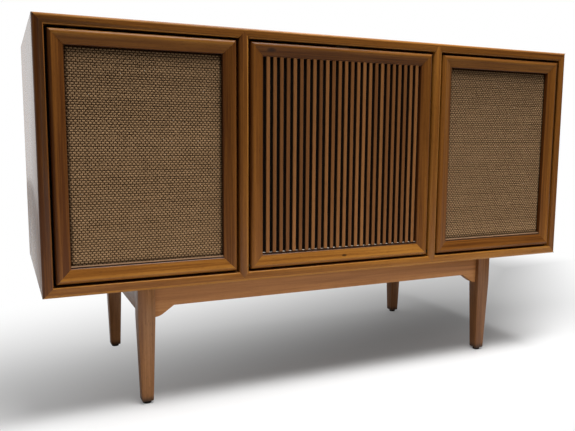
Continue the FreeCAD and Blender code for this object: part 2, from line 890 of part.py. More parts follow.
def speakers():
    gap = s.panel_clearance
    woofer_z = bay_floor + s.woofer_rise
    tweeter_z = ceiling - s.tweeter_drop
    plate_back = s.basket_depth + s.basket_wall
    coil_inner = s.pole_radius + s.coil_clearance
    coil_outer = coil_inner + s.cone_wall
    basket_section = [
        (s.woofer_mouth_radius, 0),
        (s.woofer_flange_radius, 0),
        (s.woofer_flange_radius, s.basket_wall),
        (s.woofer_mouth_radius + s.basket_wall, s.basket_wall),
        (s.basket_back_radius, s.basket_depth),
        (s.basket_back_radius, plate_back),
        (s.coil_hole_radius, plate_back),
        (s.coil_hole_radius, s.basket_depth),
        (s.basket_back_radius - s.basket_wall, s.basket_depth),
    ]
    pole_front = s.cone_depth + s.cone_wall + s.cone_travel * 2
    magnet_section = [
        (0, pole_front),
        (s.pole_radius, pole_front),
        (s.pole_radius, plate_back),
        (s.magnet_radius, plate_back),
        (s.magnet_radius, plate_back + s.magnet_thickness),
        (0, plate_back + s.magnet_thickness),
    ]
    coil_end = plate_back - s.cone_travel * 1.5
    cone_edge_radius = s.woofer_mouth_radius - s.surround_width
    cone_section = [
        (0, s.cone_depth),
        (coil_inner, s.cone_depth),
        (cone_edge_radius, s.cone_edge_depth),
        (cone_edge_radius, s.cone_edge_depth + s.cone_wall),
        (coil_outer, s.cone_depth + s.cone_wall),
        (coil_outer, coil_end),
        (coil_inner, coil_end),
        (coil_inner, s.cone_depth + s.cone_wall),
        (0, s.cone_depth + s.cone_wall),
    ]
    tweeter_section = [
        (0, s.tweeter_dish),
        (s.tweeter_mouth_radius, 0),
        (s.tweeter_flange_radius, 0),
        (s.tweeter_flange_radius, s.basket_wall),
        (s.tweeter_body_radius, s.basket_wall),
        (s.tweeter_body_radius, s.tweeter_depth),
        (0, s.tweeter_depth),
    ]
    baskets = []
    tweeters = []
    for name, sign in SIDES.items():
        x_low, x_high = span(sign, divider_outer + gap, side_inner - gap)
        x = (x_low + x_high) / 2
        board = box((x_low, frame_back, bay_floor + gap), (x_high, baffle_back, ceiling - gap))
        woofer_hole_radius = s.woofer_mouth_radius + s.hole_clearance
        tweeter_hole_radius = s.tweeter_mouth_radius + s.hole_clearance
        woofer_hole = rod(woofer_hole_radius, (x, frame_back, woofer_z), "y", s.baffle_thickness)
        tweeter_hole = rod(tweeter_hole_radius, (x, frame_back, tweeter_z), "y", s.baffle_thickness)
        keep(f"{name}_baffle", cut(board, woofer_hole, tweeter_hole))
        seat = (x, baffle_back, woofer_z)
        baskets.append(turned(basket_section, seat, "y"))
        baskets.append(turned(magnet_section, seat, "y"))
        keep(f"{name}_woofer_cone", turned(cone_section, seat, "y"))
        tweeters.append(turned(tweeter_section, (x, baffle_back, tweeter_z), "y"))
    keep("woofer_baskets", group(baskets))
    keep("tweeters", group(tweeters))


# Drop-front door

pin_bore = s.pin_radius + s.running_clearance
stay_outer_x = divider_inner - s.stay_wall_gap
stay_inner_x = stay_outer_x - s.stay_thickness
foot_back = frame_back + s.stay_foot_thickness


def door():
    frame = panel_frame(-door_half, door_half, front + s.slat_setback + s.bead_setback, rabbet_face)
    pins = []
    pin_length = s.pin_in_door + s.reveal + s.pin_in_divider - s.panel_clearance
    for sign in SIDES.values():
        x_low, _ = span(sign, door_half - s.pin_in_door, door_half - s.pin_in_door + pin_length)
        pins.append(rod(s.pin_radius, (x_low, pivot_y, pivot_z), "x", pin_length))
    keep("door_frame", cut(group(frame), *pins))
    keep("door_pivot_pins", group(pins))
    lap = s.rabbet_width - s.panel_clearance
    board_low = (-opening_half - lap, rabbet_face, opening_low - lap)
    board_high = (opening_half + lap, frame_back, opening_high + lap)
    keep("door_back_board", box(board_low, board_high))
    slats = []
    count = int(s.slat_count.number)
    first_slat = -opening_half + s.slat_end_gap + s.slat_width / 2
    slat_pitch = -first_slat * 2 / (count - 1)
    for index in range(count):
        x = first_slat + slat_pitch * index
        slat_low = (x - s.slat_width / 2, front + s.slat_setback, opening_low + s.bead_height)
        slat_high = (x + s.slat_width / 2, rabbet_face, opening_high)
        slats.append(box(slat_low, slat_high))
    keep("door_slats", group(slats))
    strike_low = (-s.strike_width / 2, frame_back, latch_z - s.strike_height / 2)
    strike_high = (s.strike_width / 2, frame_back + s.strike_thickness, latch_z + s.strike_height / 2)
    keep("latch_strike", box(strike_low, strike_high))


def polar(angle, radius):
    """The y and z of a point round the door's pivot, from level towards the back, upwards."""
    return pivot_y + radius * cosine(angle), pivot_z + radius * sine(angle)


def door_stays():
    outer = s.stay_radius + s.stay_width / 2
    inner = s.stay_radius - s.stay_width / 2
    foot_middle = pivot_z + s.stay_radius
    guide_angle = 90.0 - s.guide_back_angle
    stays = []
    guides = []
    for sign in SIDES.values():
        x_low, x_high = span(sign, stay_inner_x, stay_outer_x)
        disc = rod(outer, (x_low, pivot_y, pivot_z), "x", s.stay_thickness)
        core = rod(inner, (x_low, pivot_y, pivot_z), "x", s.stay_thickness)
        tail_low = pivot_z - outer * sine(s.stay_tail_angle)
        quarter = box((x_low, frame_back, tail_low), (x_high, pivot_y + outer, pivot_z + outer))
        band = doc.addObject("Part::Common", "band")
        band.Base = cut(disc, core)
        band.Tool = quarter
        foot_x = (stay_inner_x + stay_outer_x) / 2
        foot_low, foot_high = span(sign, foot_x - s.stay_foot_width / 2, foot_x + s.stay_foot_width / 2)
        foot = box(
            (foot_low, frame_back, foot_middle - s.stay_foot_height / 2),
            (foot_high, foot_back, foot_middle + s.stay_foot_height / 2),
        )
        stop_y, stop_z = polar(-s.stay_stop_angle, s.stay_radius)
        stop_low, stop_high = span(sign, stay_inner_x, divider_inner - s.guide_plate - s.stay_slack)
        stop = rod(s.stay_pin_radius, (stop_low, stop_y, stop_z), "x", stop_high - stop_low)
        stays.append(fuse(band, foot, stop))
        pin_gap = s.stay_width / 2 + s.stay_slack + s.stay_pin_radius
        guide_y, guide_z = polar(guide_angle, s.stay_radius)
        plate_low, plate_high = span(sign, divider_inner - s.guide_plate, divider_inner)
        half = s.guide_plate_width / 2
        tall = s.guide_plate_height / 2
        plate = box(
            (plate_low, guide_y - half, guide_z - tall),
            (plate_high, guide_y + half, guide_z + tall),
        )
        pin_low, pin_high = span(sign, stay_inner_x, divider_inner)
        guide_pins = []
        for radius in (s.stay_radius - pin_gap, s.stay_radius + pin_gap):
            pin_y, pin_z = polar(guide_angle, radius)
            guide_pins.append(rod(s.stay_pin_radius, (pin_low, pin_y, pin_z), "x", pin_high - pin_low))
        guides.append(fuse(plate, *guide_pins))
    keep("door_stays", group(stays))
    keep("stay_guides", group(guides))


# Touch latch

latch_z = ceiling - s.latch_height / 2 - 2 * s.panel_clearance
latch_front = frame_back + s.latch_gap


def latch():
    body_low = (-s.latch_width / 2, latch_front, ceiling - s.latch_height)
    body_high = (s.latch_width / 2, latch_front + s.latch_length, ceiling)
    tip_y = frame_back + s.strike_thickness + s.strike_gap
    bore_end = tip_y + s.plunger_length + s.plunger_travel + s.panel_clearance
    bore_radius = s.plunger_radius + s.running_clearance
    bore = rod(bore_radius, (0.0, latch_front, latch_z), "y", bore_end - latch_front)
    keep("latch_body", cut(box(body_low, body_high), bore))
    keep("latch_plunger", rod(s.plunger_radius, (0.0, tip_y, latch_z), "y", s.plunger_length))


# Record player

def deck_mount_spots():
    x = s.deck_width / 2 - s.mount_inset
    return [
        (sign * x, y, bearer_top)
        for sign in SIDES.values()
        for y in (deck_front + s.mount_inset, deck_back - s.mount_inset)
    ]


drive_reach = s.platter_radius - s.platter_rim - s.drive_gap - s.idler_radius
pulley_reach = drive_reach - s.idler_radius - s.drive_gap - s.pulley_radius
# The drive lies along a 3-4-5 triangle from the spindle, towards the back left.
DRIVE_WAY = (-0.6, 0.8)
idler_spot = (s.spindle_x + drive_reach * DRIVE_WAY[0], spindle_y + drive_reach * DRIVE_WAY[1])
motor_spot = (s.spindle_x + pulley_reach * DRIVE_WAY[0], spindle_y + pulley_reach * DRIVE_WAY[1])


def changer_deck():
    bearers = []
    for sign in SIDES.values():
        middle = sign * (s.deck_width / 2 - s.mount_inset)
        low = (middle - s.bearer_width / 2, deck_front, bay_floor)
        high = (middle + s.bearer_width / 2, deck_back, bearer_top)
        bearers.append(box(low, high))
    keep("deck_bearers", group(bearers))
    mounts = [rod(s.mount_radius, spot, "z", s.mount_height) for spot in deck_mount_spots()]
    keep("deck_mounts", group(mounts))
    half = s.deck_width / 2
    curve = s.deck_round
    outline = [
        (-half + curve, deck_front),
        (half - curve, deck_front, curve, 1),
        (half, deck_front + curve),
        (half, deck_back - curve, curve, 1),
        (half - curve, deck_back),
        (curve - half, deck_back, curve, 1),
        (-half, deck_back - curve),
        (-half, deck_front + curve, curve, 1),
    ]
    plate = raised("XY", outline, deck_low, s.deck_thickness)
    arm_hole_radius = s.arm_shaft_radius + s.running_clearance
    lever_hole_radius = s.lever_shaft_radius + s.running_clearance
    holes = [
        rod(s.shaft_hole_radius, (*motor_spot, deck_low), "z", s.deck_thickness),
        rod(arm_hole_radius, (arm_x, arm_y, deck_low), "z", s.deck_thickness),
        rod(lever_hole_radius, (lever_x, lever_y, deck_low), "z", s.deck_thickness),
    ]
    axle = rod(s.idler_axle_radius, (*idler_spot, deck_low), "z", s.deck_thickness + s.idler_axle_height)
    keep("changer_deck", fuse(cut(plate, *holes), axle))


def platter():
    rim_low = s.spindle_flange_height
    top_z = rim_low + s.platter_height
    mat_top = top_z + s.mat_thickness
    plate_low = top_z - s.platter_plate
    rim_inner = s.platter_radius - s.platter_rim
    bore = s.spindle_radius + s.running_clearance
    hub_low = s.spindle_flange_height + s.platter_lift
    seat = (s.spindle_x, spindle_y, deck_top)
    platter_section = [
        (s.platter_radius, rim_low),
        (s.platter_radius, top_z),
        (bore, top_z),
        (bore, hub_low),
        (s.platter_hub_radius, hub_low),
        (s.platter_hub_radius, plate_low),
        (rim_inner, plate_low),
        (rim_inner, rim_low),
    ]
    mat_hole = s.spindle_radius + s.panel_clearance
    mat_section = [(mat_hole, top_z), (s.mat_radius, top_z), (s.mat_radius, mat_top), (mat_hole, mat_top)]
    spindle_section = [
        (0, 0),
        (s.spindle_flange_radius, 0),
        (s.spindle_flange_radius, s.spindle_flange_height),
        (s.spindle_radius, s.spindle_flange_height),
        (s.spindle_radius, mat_top),
        (s.record_pin_radius, mat_top),
        (s.record_pin_radius, s.spindle_height - s.record_pin_radius, s.record_pin_radius, 1),
        (0, s.spindle_height),
    ]
    keep("platter", turned(platter_section, seat))
    keep("platter_mat", turned(mat_section, seat))
    keep("spindle", turned(spindle_section, seat))


def platter_drive():
    bore = s.idler_axle_radius + s.running_clearance
    idler_top = s.idler_rise + s.idler_thickness
    idler_section = [
        (bore, s.idler_rise),
        (s.idler_radius, s.idler_rise),
        (s.idler_radius, idler_top),
        (bore, idler_top),
    ]
    keep("idler_wheel", turned(idler_section, (*idler_spot, deck_top)))
    shaft_low = -s.deck_thickness - s.motor_shaft_length
    pulley_top = s.pulley_rise + s.pulley_height
    pulley_section = [
        (0, shaft_low),
        (s.motor_shaft_radius, shaft_low),
        (s.motor_shaft_radius, s.pulley_rise),
        (s.pulley_radius, s.pulley_rise),
        (s.pulley_radius, pulley_top),
        (0, pulley_top),
    ]
    keep("motor_pulley", turned(pulley_section, (*motor_spot, deck_top)))
    case = rod(s.motor_radius, (*motor_spot, deck_low - s.motor_height), "z", s.motor_height)
    socket_depth = s.motor_shaft_length + s.panel_clearance
    socket_radius = s.motor_shaft_radius + s.running_clearance
    socket = rod(socket_radius, (*motor_spot, deck_low - socket_depth), "z", socket_depth)
    keep("drive_motor", cut(case, socket))


def tonearm():
    column_section = [
        (0, -s.arm_shaft_length),
        (s.arm_shaft_radius, -s.arm_shaft_length),
        (s.arm_shaft_radius, s.platter_lift),
        (s.arm_column_radius, s.platter_lift),
        (s.arm_column_radius, s.arm_column_height),
        (0, s.arm_column_height),
    ]
    column = turned(column_section, (arm_x, arm_y, deck_top))
    cheek_inner = s.arm_block / 2 + s.arm_yoke_gap
    cheek_outer = cheek_inner + s.arm_yoke_wall
    cheek_low = deck_top + s.arm_column_height - s.arm_yoke_wall
    cheek_high = arm_z + s.arm_block / 2
    cheeks = []
    for sign in SIDES.values():
        near, far = span(sign, cheek_inner, cheek_outer)
        cheeks.append(box(
            (arm_x + near, arm_y - s.arm_yoke_depth / 2, cheek_low),
            (arm_x + far, arm_y + s.arm_yoke_depth / 2, cheek_high),
        ))
    pin = rod(s.arm_pin_radius, (arm_x - cheek_outer, arm_y, arm_z), "x", cheek_outer * 2)
    keep("tonearm_pivot", fuse(column, *cheeks, pin))

    half = s.arm_block / 2
    head_front = arm_y - s.arm_length - s.head_length / 2
    head_back = head_front + s.head_length
    tail = arm_y + s.arm_tail
    bore_radius = s.arm_pin_radius + s.running_clearance
    bore = rod(bore_radius, (arm_x - half, arm_y, arm_z), "x", s.arm_block)
    tube = rod(s.arm_tube_radius, (arm_x, head_back, arm_z), "y", tail - head_back)
    block = box((arm_x - half, arm_y - half, arm_z - half), (arm_x + half, arm_y + half, arm_z + half))
    weight_spot = (arm_x, tail - s.counterweight_length, arm_z)
    weight = rod(s.counterweight_radius, weight_spot, "y", s.counterweight_length)
    head_low = arm_z - s.head_thickness / 2
    head = box(
        (arm_x - s.head_width / 2, head_front, head_low),
        (arm_x + s.head_width / 2, head_back, arm_z + s.head_thickness / 2),
    )
    cartridge_low = head_low - s.cartridge_height
    cartridge_front = arm_y - s.arm_length - s.cartridge_length / 2
    cartridge = box(
        (arm_x - s.cartridge_width / 2, cartridge_front, cartridge_low),
        (arm_x + s.cartridge_width / 2, cartridge_front + s.cartridge_length, head_low),
    )
    stylus_spot = (arm_x, arm_y - s.arm_length, cartridge_low - s.stylus_length)
    stylus = rod(s.stylus_radius, stylus_spot, "z", s.stylus_length)
    solids = [cut(tube, bore), cut(block, tube, bore), cut(weight, tube), head, cartridge, stylus]
    keep("tonearm", group(solids))


def tonearm_rest():
    rest_y = arm_y - s.rest_distance
    rest_top = arm_z - s.arm_tube_radius - s.rest_gap
    post = rod(s.rest_radius, (arm_x, rest_y, deck_top), "z", rest_top - deck_top)
    horn_x = arm_x + s.arm_tube_radius + s.rest_gap
    horn = box(
        (horn_x, rest_y - s.rest_horn / 2, rest_top),
        (horn_x + s.rest_horn, rest_y + s.rest_horn / 2, rest_top + s.rest_horn_height),
    )
    keep("tonearm_rest", group([post, horn]))


def speed_lever():
    hub_section = [
        (0, -s.deck_thickness),
        (s.lever_shaft_radius, -s.deck_thickness),
        (s.lever_shaft_radius, s.platter_lift),
        (s.lever_hub_radius, s.platter_lift),
        (s.lever_hub_radius, s.lever_hub_height),
        (0, s.lever_hub_height),
    ]
    hub = turned(hub_section, (lever_x, lever_y, deck_top))
    handle_low = deck_top + s.lever_hub_height - s.lever_thickness
    handle = box(
        (lever_x, lever_y - s.lever_width / 2, handle_low),
        (lever_x + s.lever_length, lever_y + s.lever_width / 2, deck_top + s.lever_hub_height),
    )
    keep("speed_lever", fuse(hub, handle))


# Tuner

def tuner():
    shelf_low_corner = (-divider_inner, tuner_front, shelf_low)
    shelf_high_corner = (divider_inner, tuner_front + s.shelf_depth, shelf_top)
    keep("tuner_shelf", box(shelf_low_corner, shelf_high_corner))

    case_back = tuner_panel_back + s.chassis_depth
    half = s.chassis_width / 2
    wall = s.chassis_wall
    case = box((-half, tuner_panel_back, shelf_top), (half, case_back, shelf_top + s.chassis_height))
    hollow = box(
        (wall - half, tuner_panel_back + wall, shelf_top),
        (half - wall, case_back - wall, shelf_top + s.chassis_height - wall),
    )
    keep("tuner_chassis", cut(case, hollow))

    dial_z = shelf_top + s.dial_rise
    knob_z = shelf_top + s.small_knob_rise
    knobs = {
        "selector_knob": (-s.large_knob_offset, dial_z, s.large_knob_radius),
        "tuning_knob": (s.large_knob_offset, dial_z, s.large_knob_radius),
        "volume_knob": (-s.small_knob_offset, knob_z, s.small_knob_radius),
        "tone_knob": (s.small_knob_offset, knob_z, s.small_knob_radius),
    }
    half = divider_inner - s.tuner_panel_gap
    plate = box((-half, tuner_front, shelf_top), (half, tuner_panel_back, shelf_top + s.tuner_panel_height))
    window = dial_box(0.0, tuner_front, tuner_panel_back)
    lip_back = tuner_front + s.dial_lip
    rebate = dial_box(s.dial_rebate, lip_back, tuner_panel_back)
    bore = s.knob_shaft_radius + s.running_clearance
    holes = [rod(bore, (x, tuner_front, z), "y", s.tuner_panel_thickness) for x, z, _ in knobs.values()]
    keep("tuner_front_panel", cut(cut(plate, window), rebate, *holes))
    glass_back = lip_back + s.dial_glass_thickness
    keep("dial_glass", dial_box(s.dial_rebate - s.panel_clearance, lip_back, glass_back))
    pointer_low = (-s.pointer_width / 2, glass_back + s.pointer_gap, dial_z - s.pointer_height / 2)
    pointer_high = (s.pointer_width / 2, tuner_panel_back - s.pointer_gap, dial_z + s.pointer_height / 2)
    keep("dial_pointer", box(pointer_low, pointer_high))
    for name, (x, z, radius) in knobs.items():
        section = [
            (0, -s.knob_shaft_length),
            (s.knob_shaft_radius, -s.knob_shaft_length),
            (s.knob_shaft_radius, s.knob_lift),
            (radius, s.knob_lift),
            (radius - s.knob_taper, s.knob_lift + s.knob_height),
            (0, s.knob_lift + s.knob_height),
        ]
        keep(name, turned(section, (x, tuner_front, z), "-y"))


def dial_box(grow, y_low, y_high):
    """A block over the dial window, grown by an amount all round."""
    wide = s.dial_width / 2 + grow
    tall = s.dial_height / 2 + grow
    z = shelf_top + s.dial_rise
    return box((-wide, y_low, z - tall), (wide, y_high, z + tall))


def check_model():
    """Stop if a feature failed, a pocket cut nothing or a sub-part's shape is broken."""
    faults = [item.Name for item in doc.Objects if "Invalid" in item.State or "Error" in item.State]
    faults += [item.Label for item in pieces if item.Shape.isNull() or not item.Shape.isValid()]
    for pad, pocket in pockets:
        if pocket.Shape.Volume >= pad.Shape.Volume:
            faults.append(pocket.Name)
    if faults:
        raise RuntimeError("These features failed: " + ", ".join(faults))


cabinet_panels()
face_edging()
divider_edging()
back_panel()
cord_inlet()
inner_battens()
wood_screws()
legs()
aprons()
corner_blocks()
grilles()
speakers()
door()
door_stays()
latch()
changer_deck()
platter()
platter_drive()
tonearm()
tonearm_rest()
speed_lever()
tuner()
doc.recompute()
check_model()
os.makedirs("parts", exist_ok=True)
for piece in pieces:
    piece.Shape.exportStep(f"parts/{piece.Label}.step")
print(f"{len(pieces)} sub-parts, {sum(len(piece.Shape.Solids) for piece in pieces)} solids")
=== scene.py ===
"""A stereo console: the finish of its pieces, its fine detail, the stage and the camera."""
import json
import math

import bmesh
import bpy
from mathutils import Matrix, Vector


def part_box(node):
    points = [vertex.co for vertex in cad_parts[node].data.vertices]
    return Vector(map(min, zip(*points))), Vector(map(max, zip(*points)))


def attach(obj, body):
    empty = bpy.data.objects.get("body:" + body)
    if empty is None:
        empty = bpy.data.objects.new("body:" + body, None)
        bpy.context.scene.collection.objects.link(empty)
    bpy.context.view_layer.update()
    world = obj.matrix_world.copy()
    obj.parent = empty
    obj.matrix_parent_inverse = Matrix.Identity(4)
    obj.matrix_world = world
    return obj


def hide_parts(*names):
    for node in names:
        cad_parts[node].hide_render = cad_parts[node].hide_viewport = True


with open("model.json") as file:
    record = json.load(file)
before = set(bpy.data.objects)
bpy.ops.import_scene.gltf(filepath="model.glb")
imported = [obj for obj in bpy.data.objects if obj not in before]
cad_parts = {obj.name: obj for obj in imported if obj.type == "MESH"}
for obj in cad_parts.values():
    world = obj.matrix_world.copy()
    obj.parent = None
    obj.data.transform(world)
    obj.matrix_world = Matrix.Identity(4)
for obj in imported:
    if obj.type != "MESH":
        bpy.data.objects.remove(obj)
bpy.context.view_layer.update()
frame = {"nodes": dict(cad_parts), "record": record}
nodes = frame["nodes"]
body_of = {}
for body_name, members in frame["record"]["behaviour"]["bodies"].items():
    for member in members:
        body_of[member] = body_name

MM = 0.001
FULL_TURN = 2 * math.pi
FRONTWARD = (0.0, -1.0, 0.0)
UPWARD = (0.0, 0.0, 1.0)


# Node trees written as expressions

def operator(operation, swapped=False):
    """A method that adds one maths node. Its terms are swapped where the wire is the second one."""
    def method(wire, *others):
        terms = (*others, wire) if swapped else (wire, *others)
        return wire.tree.node("ShaderNodeMath", {"operation": operation}, dict(enumerate(terms)))
    return method


class Wire:
    """A socket that takes part in sums: each operator adds a node to its tree."""

    __add__ = operator("ADD")
    __radd__ = operator("ADD", swapped=True)
    __sub__ = operator("SUBTRACT")
    __rsub__ = operator("SUBTRACT", swapped=True)
    __mul__ = operator("MULTIPLY")
    __truediv__ = operator("DIVIDE")
    __pow__ = operator("POWER")
    __mod__ = operator("FLOORED_MODULO")
    __gt__ = operator("GREATER_THAN")
    __abs__ = operator("ABSOLUTE")
    __floor__ = operator("FLOOR")
    sine = operator("SINE")
    cosine = operator("COSINE")
    least = operator("MINIMUM")
    most = operator("MAXIMUM")

    def __init__(self, tree, socket):
        self.tree = tree
        self.socket = socket

    def __neg__(self):
        return self * -1.0

    def vector(self, operation, other):
        """Vector maths with another vector."""
        return self.tree.node("ShaderNodeVectorMath", {"operation": operation}, {0: self, 1: other})

    def axes(self):
        """The three numbers of a vector."""
        first = self.tree.node("ShaderNodeSeparateXYZ", {}, {0: self})
        return [Wire(self.tree, socket) for socket in first.socket.node.outputs]

    def eased(self, low, high):
        """From 0 at the low value to 1 at the high one, with a soft start and end."""
        settings = {"interpolation_type": "SMOOTHSTEP"}
        return self.tree.node("ShaderNodeMapRange", settings, {0: self, 1: low, 2: high})


class Tree:
    """A node tree whose nodes are all made by one method."""

    def __init__(self, tree):
        self.tree = tree

    def join(self, value, socket):
        if isinstance(value, Wire):
            self.tree.links.new(value.socket, socket)
        else:
            socket.default_value = value

    def node(self, kind, settings=None, sockets=None, out=0):
        """Add a node: its settings first, then its sockets. The wire is one of its outputs."""
        made = self.tree.nodes.new(kind)
        for name, value in (settings or {}).items():
            if name == "stops":
                set_stops(made.color_ramp, value)
            else:
                setattr(made, name, value)
        for name, value in (sockets or {}).items():
            self.join(value, made.inputs[name])
        return Wire(self, made.outputs[out])

    def gather(self, x, y, z):
        """A vector out of three numbers."""
        return self.node("ShaderNodeCombineXYZ", {}, {0: x, 1: y, 2: z})

    def noise(self, place, detail=3.0, roughness=0.55, distortion=0.0, scale=1.0):
        sockets = {
            "Vector": place,
            "Scale": scale,
            "Detail": detail,
            "Roughness": roughness,
            "Distortion": distortion,
        }
        return self.node("ShaderNodeTexNoise", {}, sockets)


def set_stops(ramp, stops):
    """Set a colour ramp's stops from (place, colour) pairs."""
    while len(ramp.elements) < len(stops):
        ramp.elements.new(1.0)
    for element, (place, colour) in zip(ramp.elements, stops):
        element.position = place
        element.color = (*colour, 1.0)


class Finish(Tree):
    """A material, written on the sockets of its Principled shader."""

    def __init__(self, name, sockets):
        self.material = bpy.data.materials.new(name)
        self.material.use_nodes = True
        super().__init__(self.material.node_tree)
        self.shader = self.tree.nodes["Principled BSDF"]
        self.set(sockets)

    def set(self, sockets):
        for name, value in sockets.items():
            self.join(value, self.shader.inputs[name])

    def place(self):
        return self.node("ShaderNodeTexCoord", out="Object")

    def attribute(self, name, out="Vector"):
        return self.node("ShaderNodeAttribute", {"attribute_name": name}, out=out)

    def mix(self, share, first, second):
        """A colour between two others."""
        return self.node("ShaderNodeMix", {"data_type": "RGBA"}, {0: share, 6: first, 7: second}, 2)

    def overlaid(self, colour, share, cover):
        """A colour with a share of another plain colour laid over it."""
        return self.mix(share, colour, (*cover, 1.0))

    def choose(self, share, first, second):
        """A vector between two others."""
        return self.node("ShaderNodeMix", {"data_type": "VECTOR"}, {0: share, 4: first, 5: second}, 1)

    def ramp(self, share, stops):
        return self.node("ShaderNodeValToRGB", {"stops": stops}, {0: share})

    def bump(self, height, distance, strength=1.0):
        sockets = {"Height": height, "Distance": distance, "Strength": strength}
        self.set({"Normal": self.node("ShaderNodeBump", {}, sockets)})


class Pattern(Tree):
    """A Geometry Nodes tree with named inputs for its sizes."""

    def __init__(self, name):
        super().__init__(bpy.data.node_groups.new(name, "GeometryNodeTree"))
        faces = self.tree.interface
        faces.new_socket("Geometry", in_out="INPUT", socket_type="NodeSocketGeometry")
        faces.new_socket("Geometry", in_out="OUTPUT", socket_type="NodeSocketGeometry")
        self.source = self.tree.nodes.new("NodeGroupInput")
        self.sink = self.tree.nodes.new("NodeGroupOutput")

    def given(self):
        """The mesh that the modifier sits on."""
        return Wire(self, self.source.outputs["Geometry"])

    def sizes(self, *names, kind="Float"):
        """Named inputs of the tree, as wires."""
        for name in names:
            self.tree.interface.new_socket(name, in_out="INPUT", socket_type="NodeSocket" + kind)
        return [Wire(self, self.source.outputs[name]) for name in names]

    def geometry(self, kind, sockets=None, **settings):
        """Add a geometry node, named without the words that all their types start with."""
        return self.node("GeometryNode" + kind, settings, sockets)

    def index(self):
        return self.geometry("InputIndex")

    def position(self):
        return self.geometry("InputPosition")

    def chance(self, low, high, number, seed):
        """A random value for each number."""
        settings = {"data_type": "FLOAT"}
        sockets = {2: low, 3: high, "ID": number, "Seed": seed}
        return self.node("FunctionNodeRandomValue", settings, sockets, 1)

    def store(self, geometry, name, value, domain="POINT", kind="FLOAT"):
        sockets = {"Geometry": geometry, "Name": name, "Value": value}
        return self.geometry("StoreNamedAttribute", sockets, data_type=kind, domain=domain)

    def recall(self, name):
        return self.geometry("InputNamedAttribute", {"Name": name}, data_type="FLOAT")

    def realize(self, geometry):
        return self.geometry("RealizeInstances", {0: geometry})

    def move(self, geometry, offset):
        return self.geometry("SetPosition", {"Geometry": geometry, "Offset": offset})

    def smooth(self, geometry):
        return self.geometry("SetShadeSmooth", {"Geometry": geometry}, domain="FACE")

    def deliver(self, geometry, material):
        """End the tree with its material."""
        painted = self.geometry("SetMaterial", {0: geometry, "Material": material})
        self.tree.links.new(painted.socket, self.sink.inputs[0])


# Pieces

def add_object(name, mesh):
    made = bpy.data.objects.new(name, mesh)
    bpy.context.scene.collection.objects.link(made)
    return made


def settle(piece, body, replaced=()):
    """Let a finished piece ride on its body, and stand for CAD nodes."""
    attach(piece, body)
    if replaced:
        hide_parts(*replaced)
    return piece


def settle_mesh(mesh, body, replaced=()):
    """Make a piece with its mesh's name, and settle it."""
    return settle(add_object(mesh.name, mesh), body, replaced)


def final_mesh(holder):
    """An object's mesh with its modifiers worked out."""
    graph = bpy.context.evaluated_depsgraph_get()
    return bpy.data.meshes.new_from_object(holder.evaluated_get(graph))


def plain_mesh(holder):
    """Turn an object's modifiers into its mesh."""
    mesh = final_mesh(holder)
    holder.modifiers.clear()
    holder.data = mesh
    return holder


def grown(pattern, name, sizes, points=()):
    """A piece that a pattern makes from its sizes, and from points where it needs them."""
    mesh = bpy.data.meshes.new(name)
    mesh.from_pydata([tuple(point) for point in points], [], [])
    holder = add_object(name, mesh)
    modifier = holder.modifiers.new("pattern", "NODES")
    modifier.node_group = pattern.tree
    for item in pattern.tree.interface.items_tree:
        if item.in_out == "INPUT" and item.name in sizes:
            modifier[item.identifier] = sizes[item.name]
    return plain_mesh(holder)


def mesh_of(bm, name, material, sharp=35.0):
    """A mesh from a bmesh, smooth but for the edges that are sharper than an angle, if one is given."""
    for face in bm.faces:
        face.smooth = True
    mesh = bpy.data.meshes.new(name)
    bm.to_mesh(mesh)
    bm.free()
    if sharp:
        mesh.set_sharp_from_angle(angle=math.radians(sharp))
    mesh.materials.append(material)
    return mesh


MERGE_DISTANCE = 0.002 * MM
AXIS_DISTANCE = 0.001 * MM
FLAT_ANGLE = math.radians(0.5)
ARRIS_ANGLE = math.radians(38.0)


def merged_copy(node):
    """A CAD node's mesh with its triangles joined again."""
    bm = bmesh.new()
    bm.from_mesh(nodes[node].data)
    bmesh.ops.remove_doubles(bm, verts=bm.verts, dist=MERGE_DISTANCE)
    return bm


def solids(node):
    """The lowest and highest corner of each separate solid of a CAD node."""
    bm = merged_copy(node)
    left = set(bm.verts)
    found = []
    while left:
        rim = [left.pop()]
        spots = []
        while rim:
            vert = rim.pop()
            spots.append(vert.co.copy())
            for edge in vert.link_edges:
                other = edge.other_vert(vert)
                if other in left:
                    left.remove(other)
                    rim.append(other)
        low = Vector([min(spot[axis] for spot in spots) for axis in range(3)])
        high = Vector([max(spot[axis] for spot in spots) for axis in range(3)])
        found.append((low, high))
    bm.free()
    return sorted(found, key=lambda corners: tuple(corners[0]))


def eased(node, radius, material, steps=2, share=None):
    """A copy of a CAD node with its sharp edges eased, which stands for the node.

    The share of the radius that an edge gets is 1, or what a function says of the edge's two ends.
    """
    bm = merged_copy(node)
    bmesh.ops.dissolve_limit(bm, angle_limit=FLAT_ANGLE, verts=bm.verts, edges=bm.edges)
    weight = bm.edges.layers.float.new("bevel_weight_edge")
    for edge in bm.edges:
        if edge.calc_face_angle(0.0) > ARRIS_ANGLE:
            edge[weight] = share(*(vert.co for vert in edge.verts)) if share else 1.0
    mesh = mesh_of(bm, node + "_eased", material, sharp=None)
    piece = add_object(mesh.name, mesh)
    bevel = piece.modifiers.new("ease", "BEVEL")
    bevel.limit_method = "WEIGHT"
    bevel.width = radius
    bevel.segments = steps
    bevel.harden_normals = True
    return settle(plain_mesh(piece), body_of[node], [node])


def middle_of(corners, **given):
    """The middle of a box, save for the coordinates that are given."""
    middle = (corners[0] + corners[1]) / 2
    for axis, value in given.items():
        setattr(middle, axis, value)
    return middle


def facing(spot, along):
    """The turn and shift that bring the Z axis at the origin to a spot and direction."""
    turn = Vector(UPWARD).rotation_difference(Vector(along)).to_matrix().to_4x4()
    return Matrix.Translation(spot) @ turn


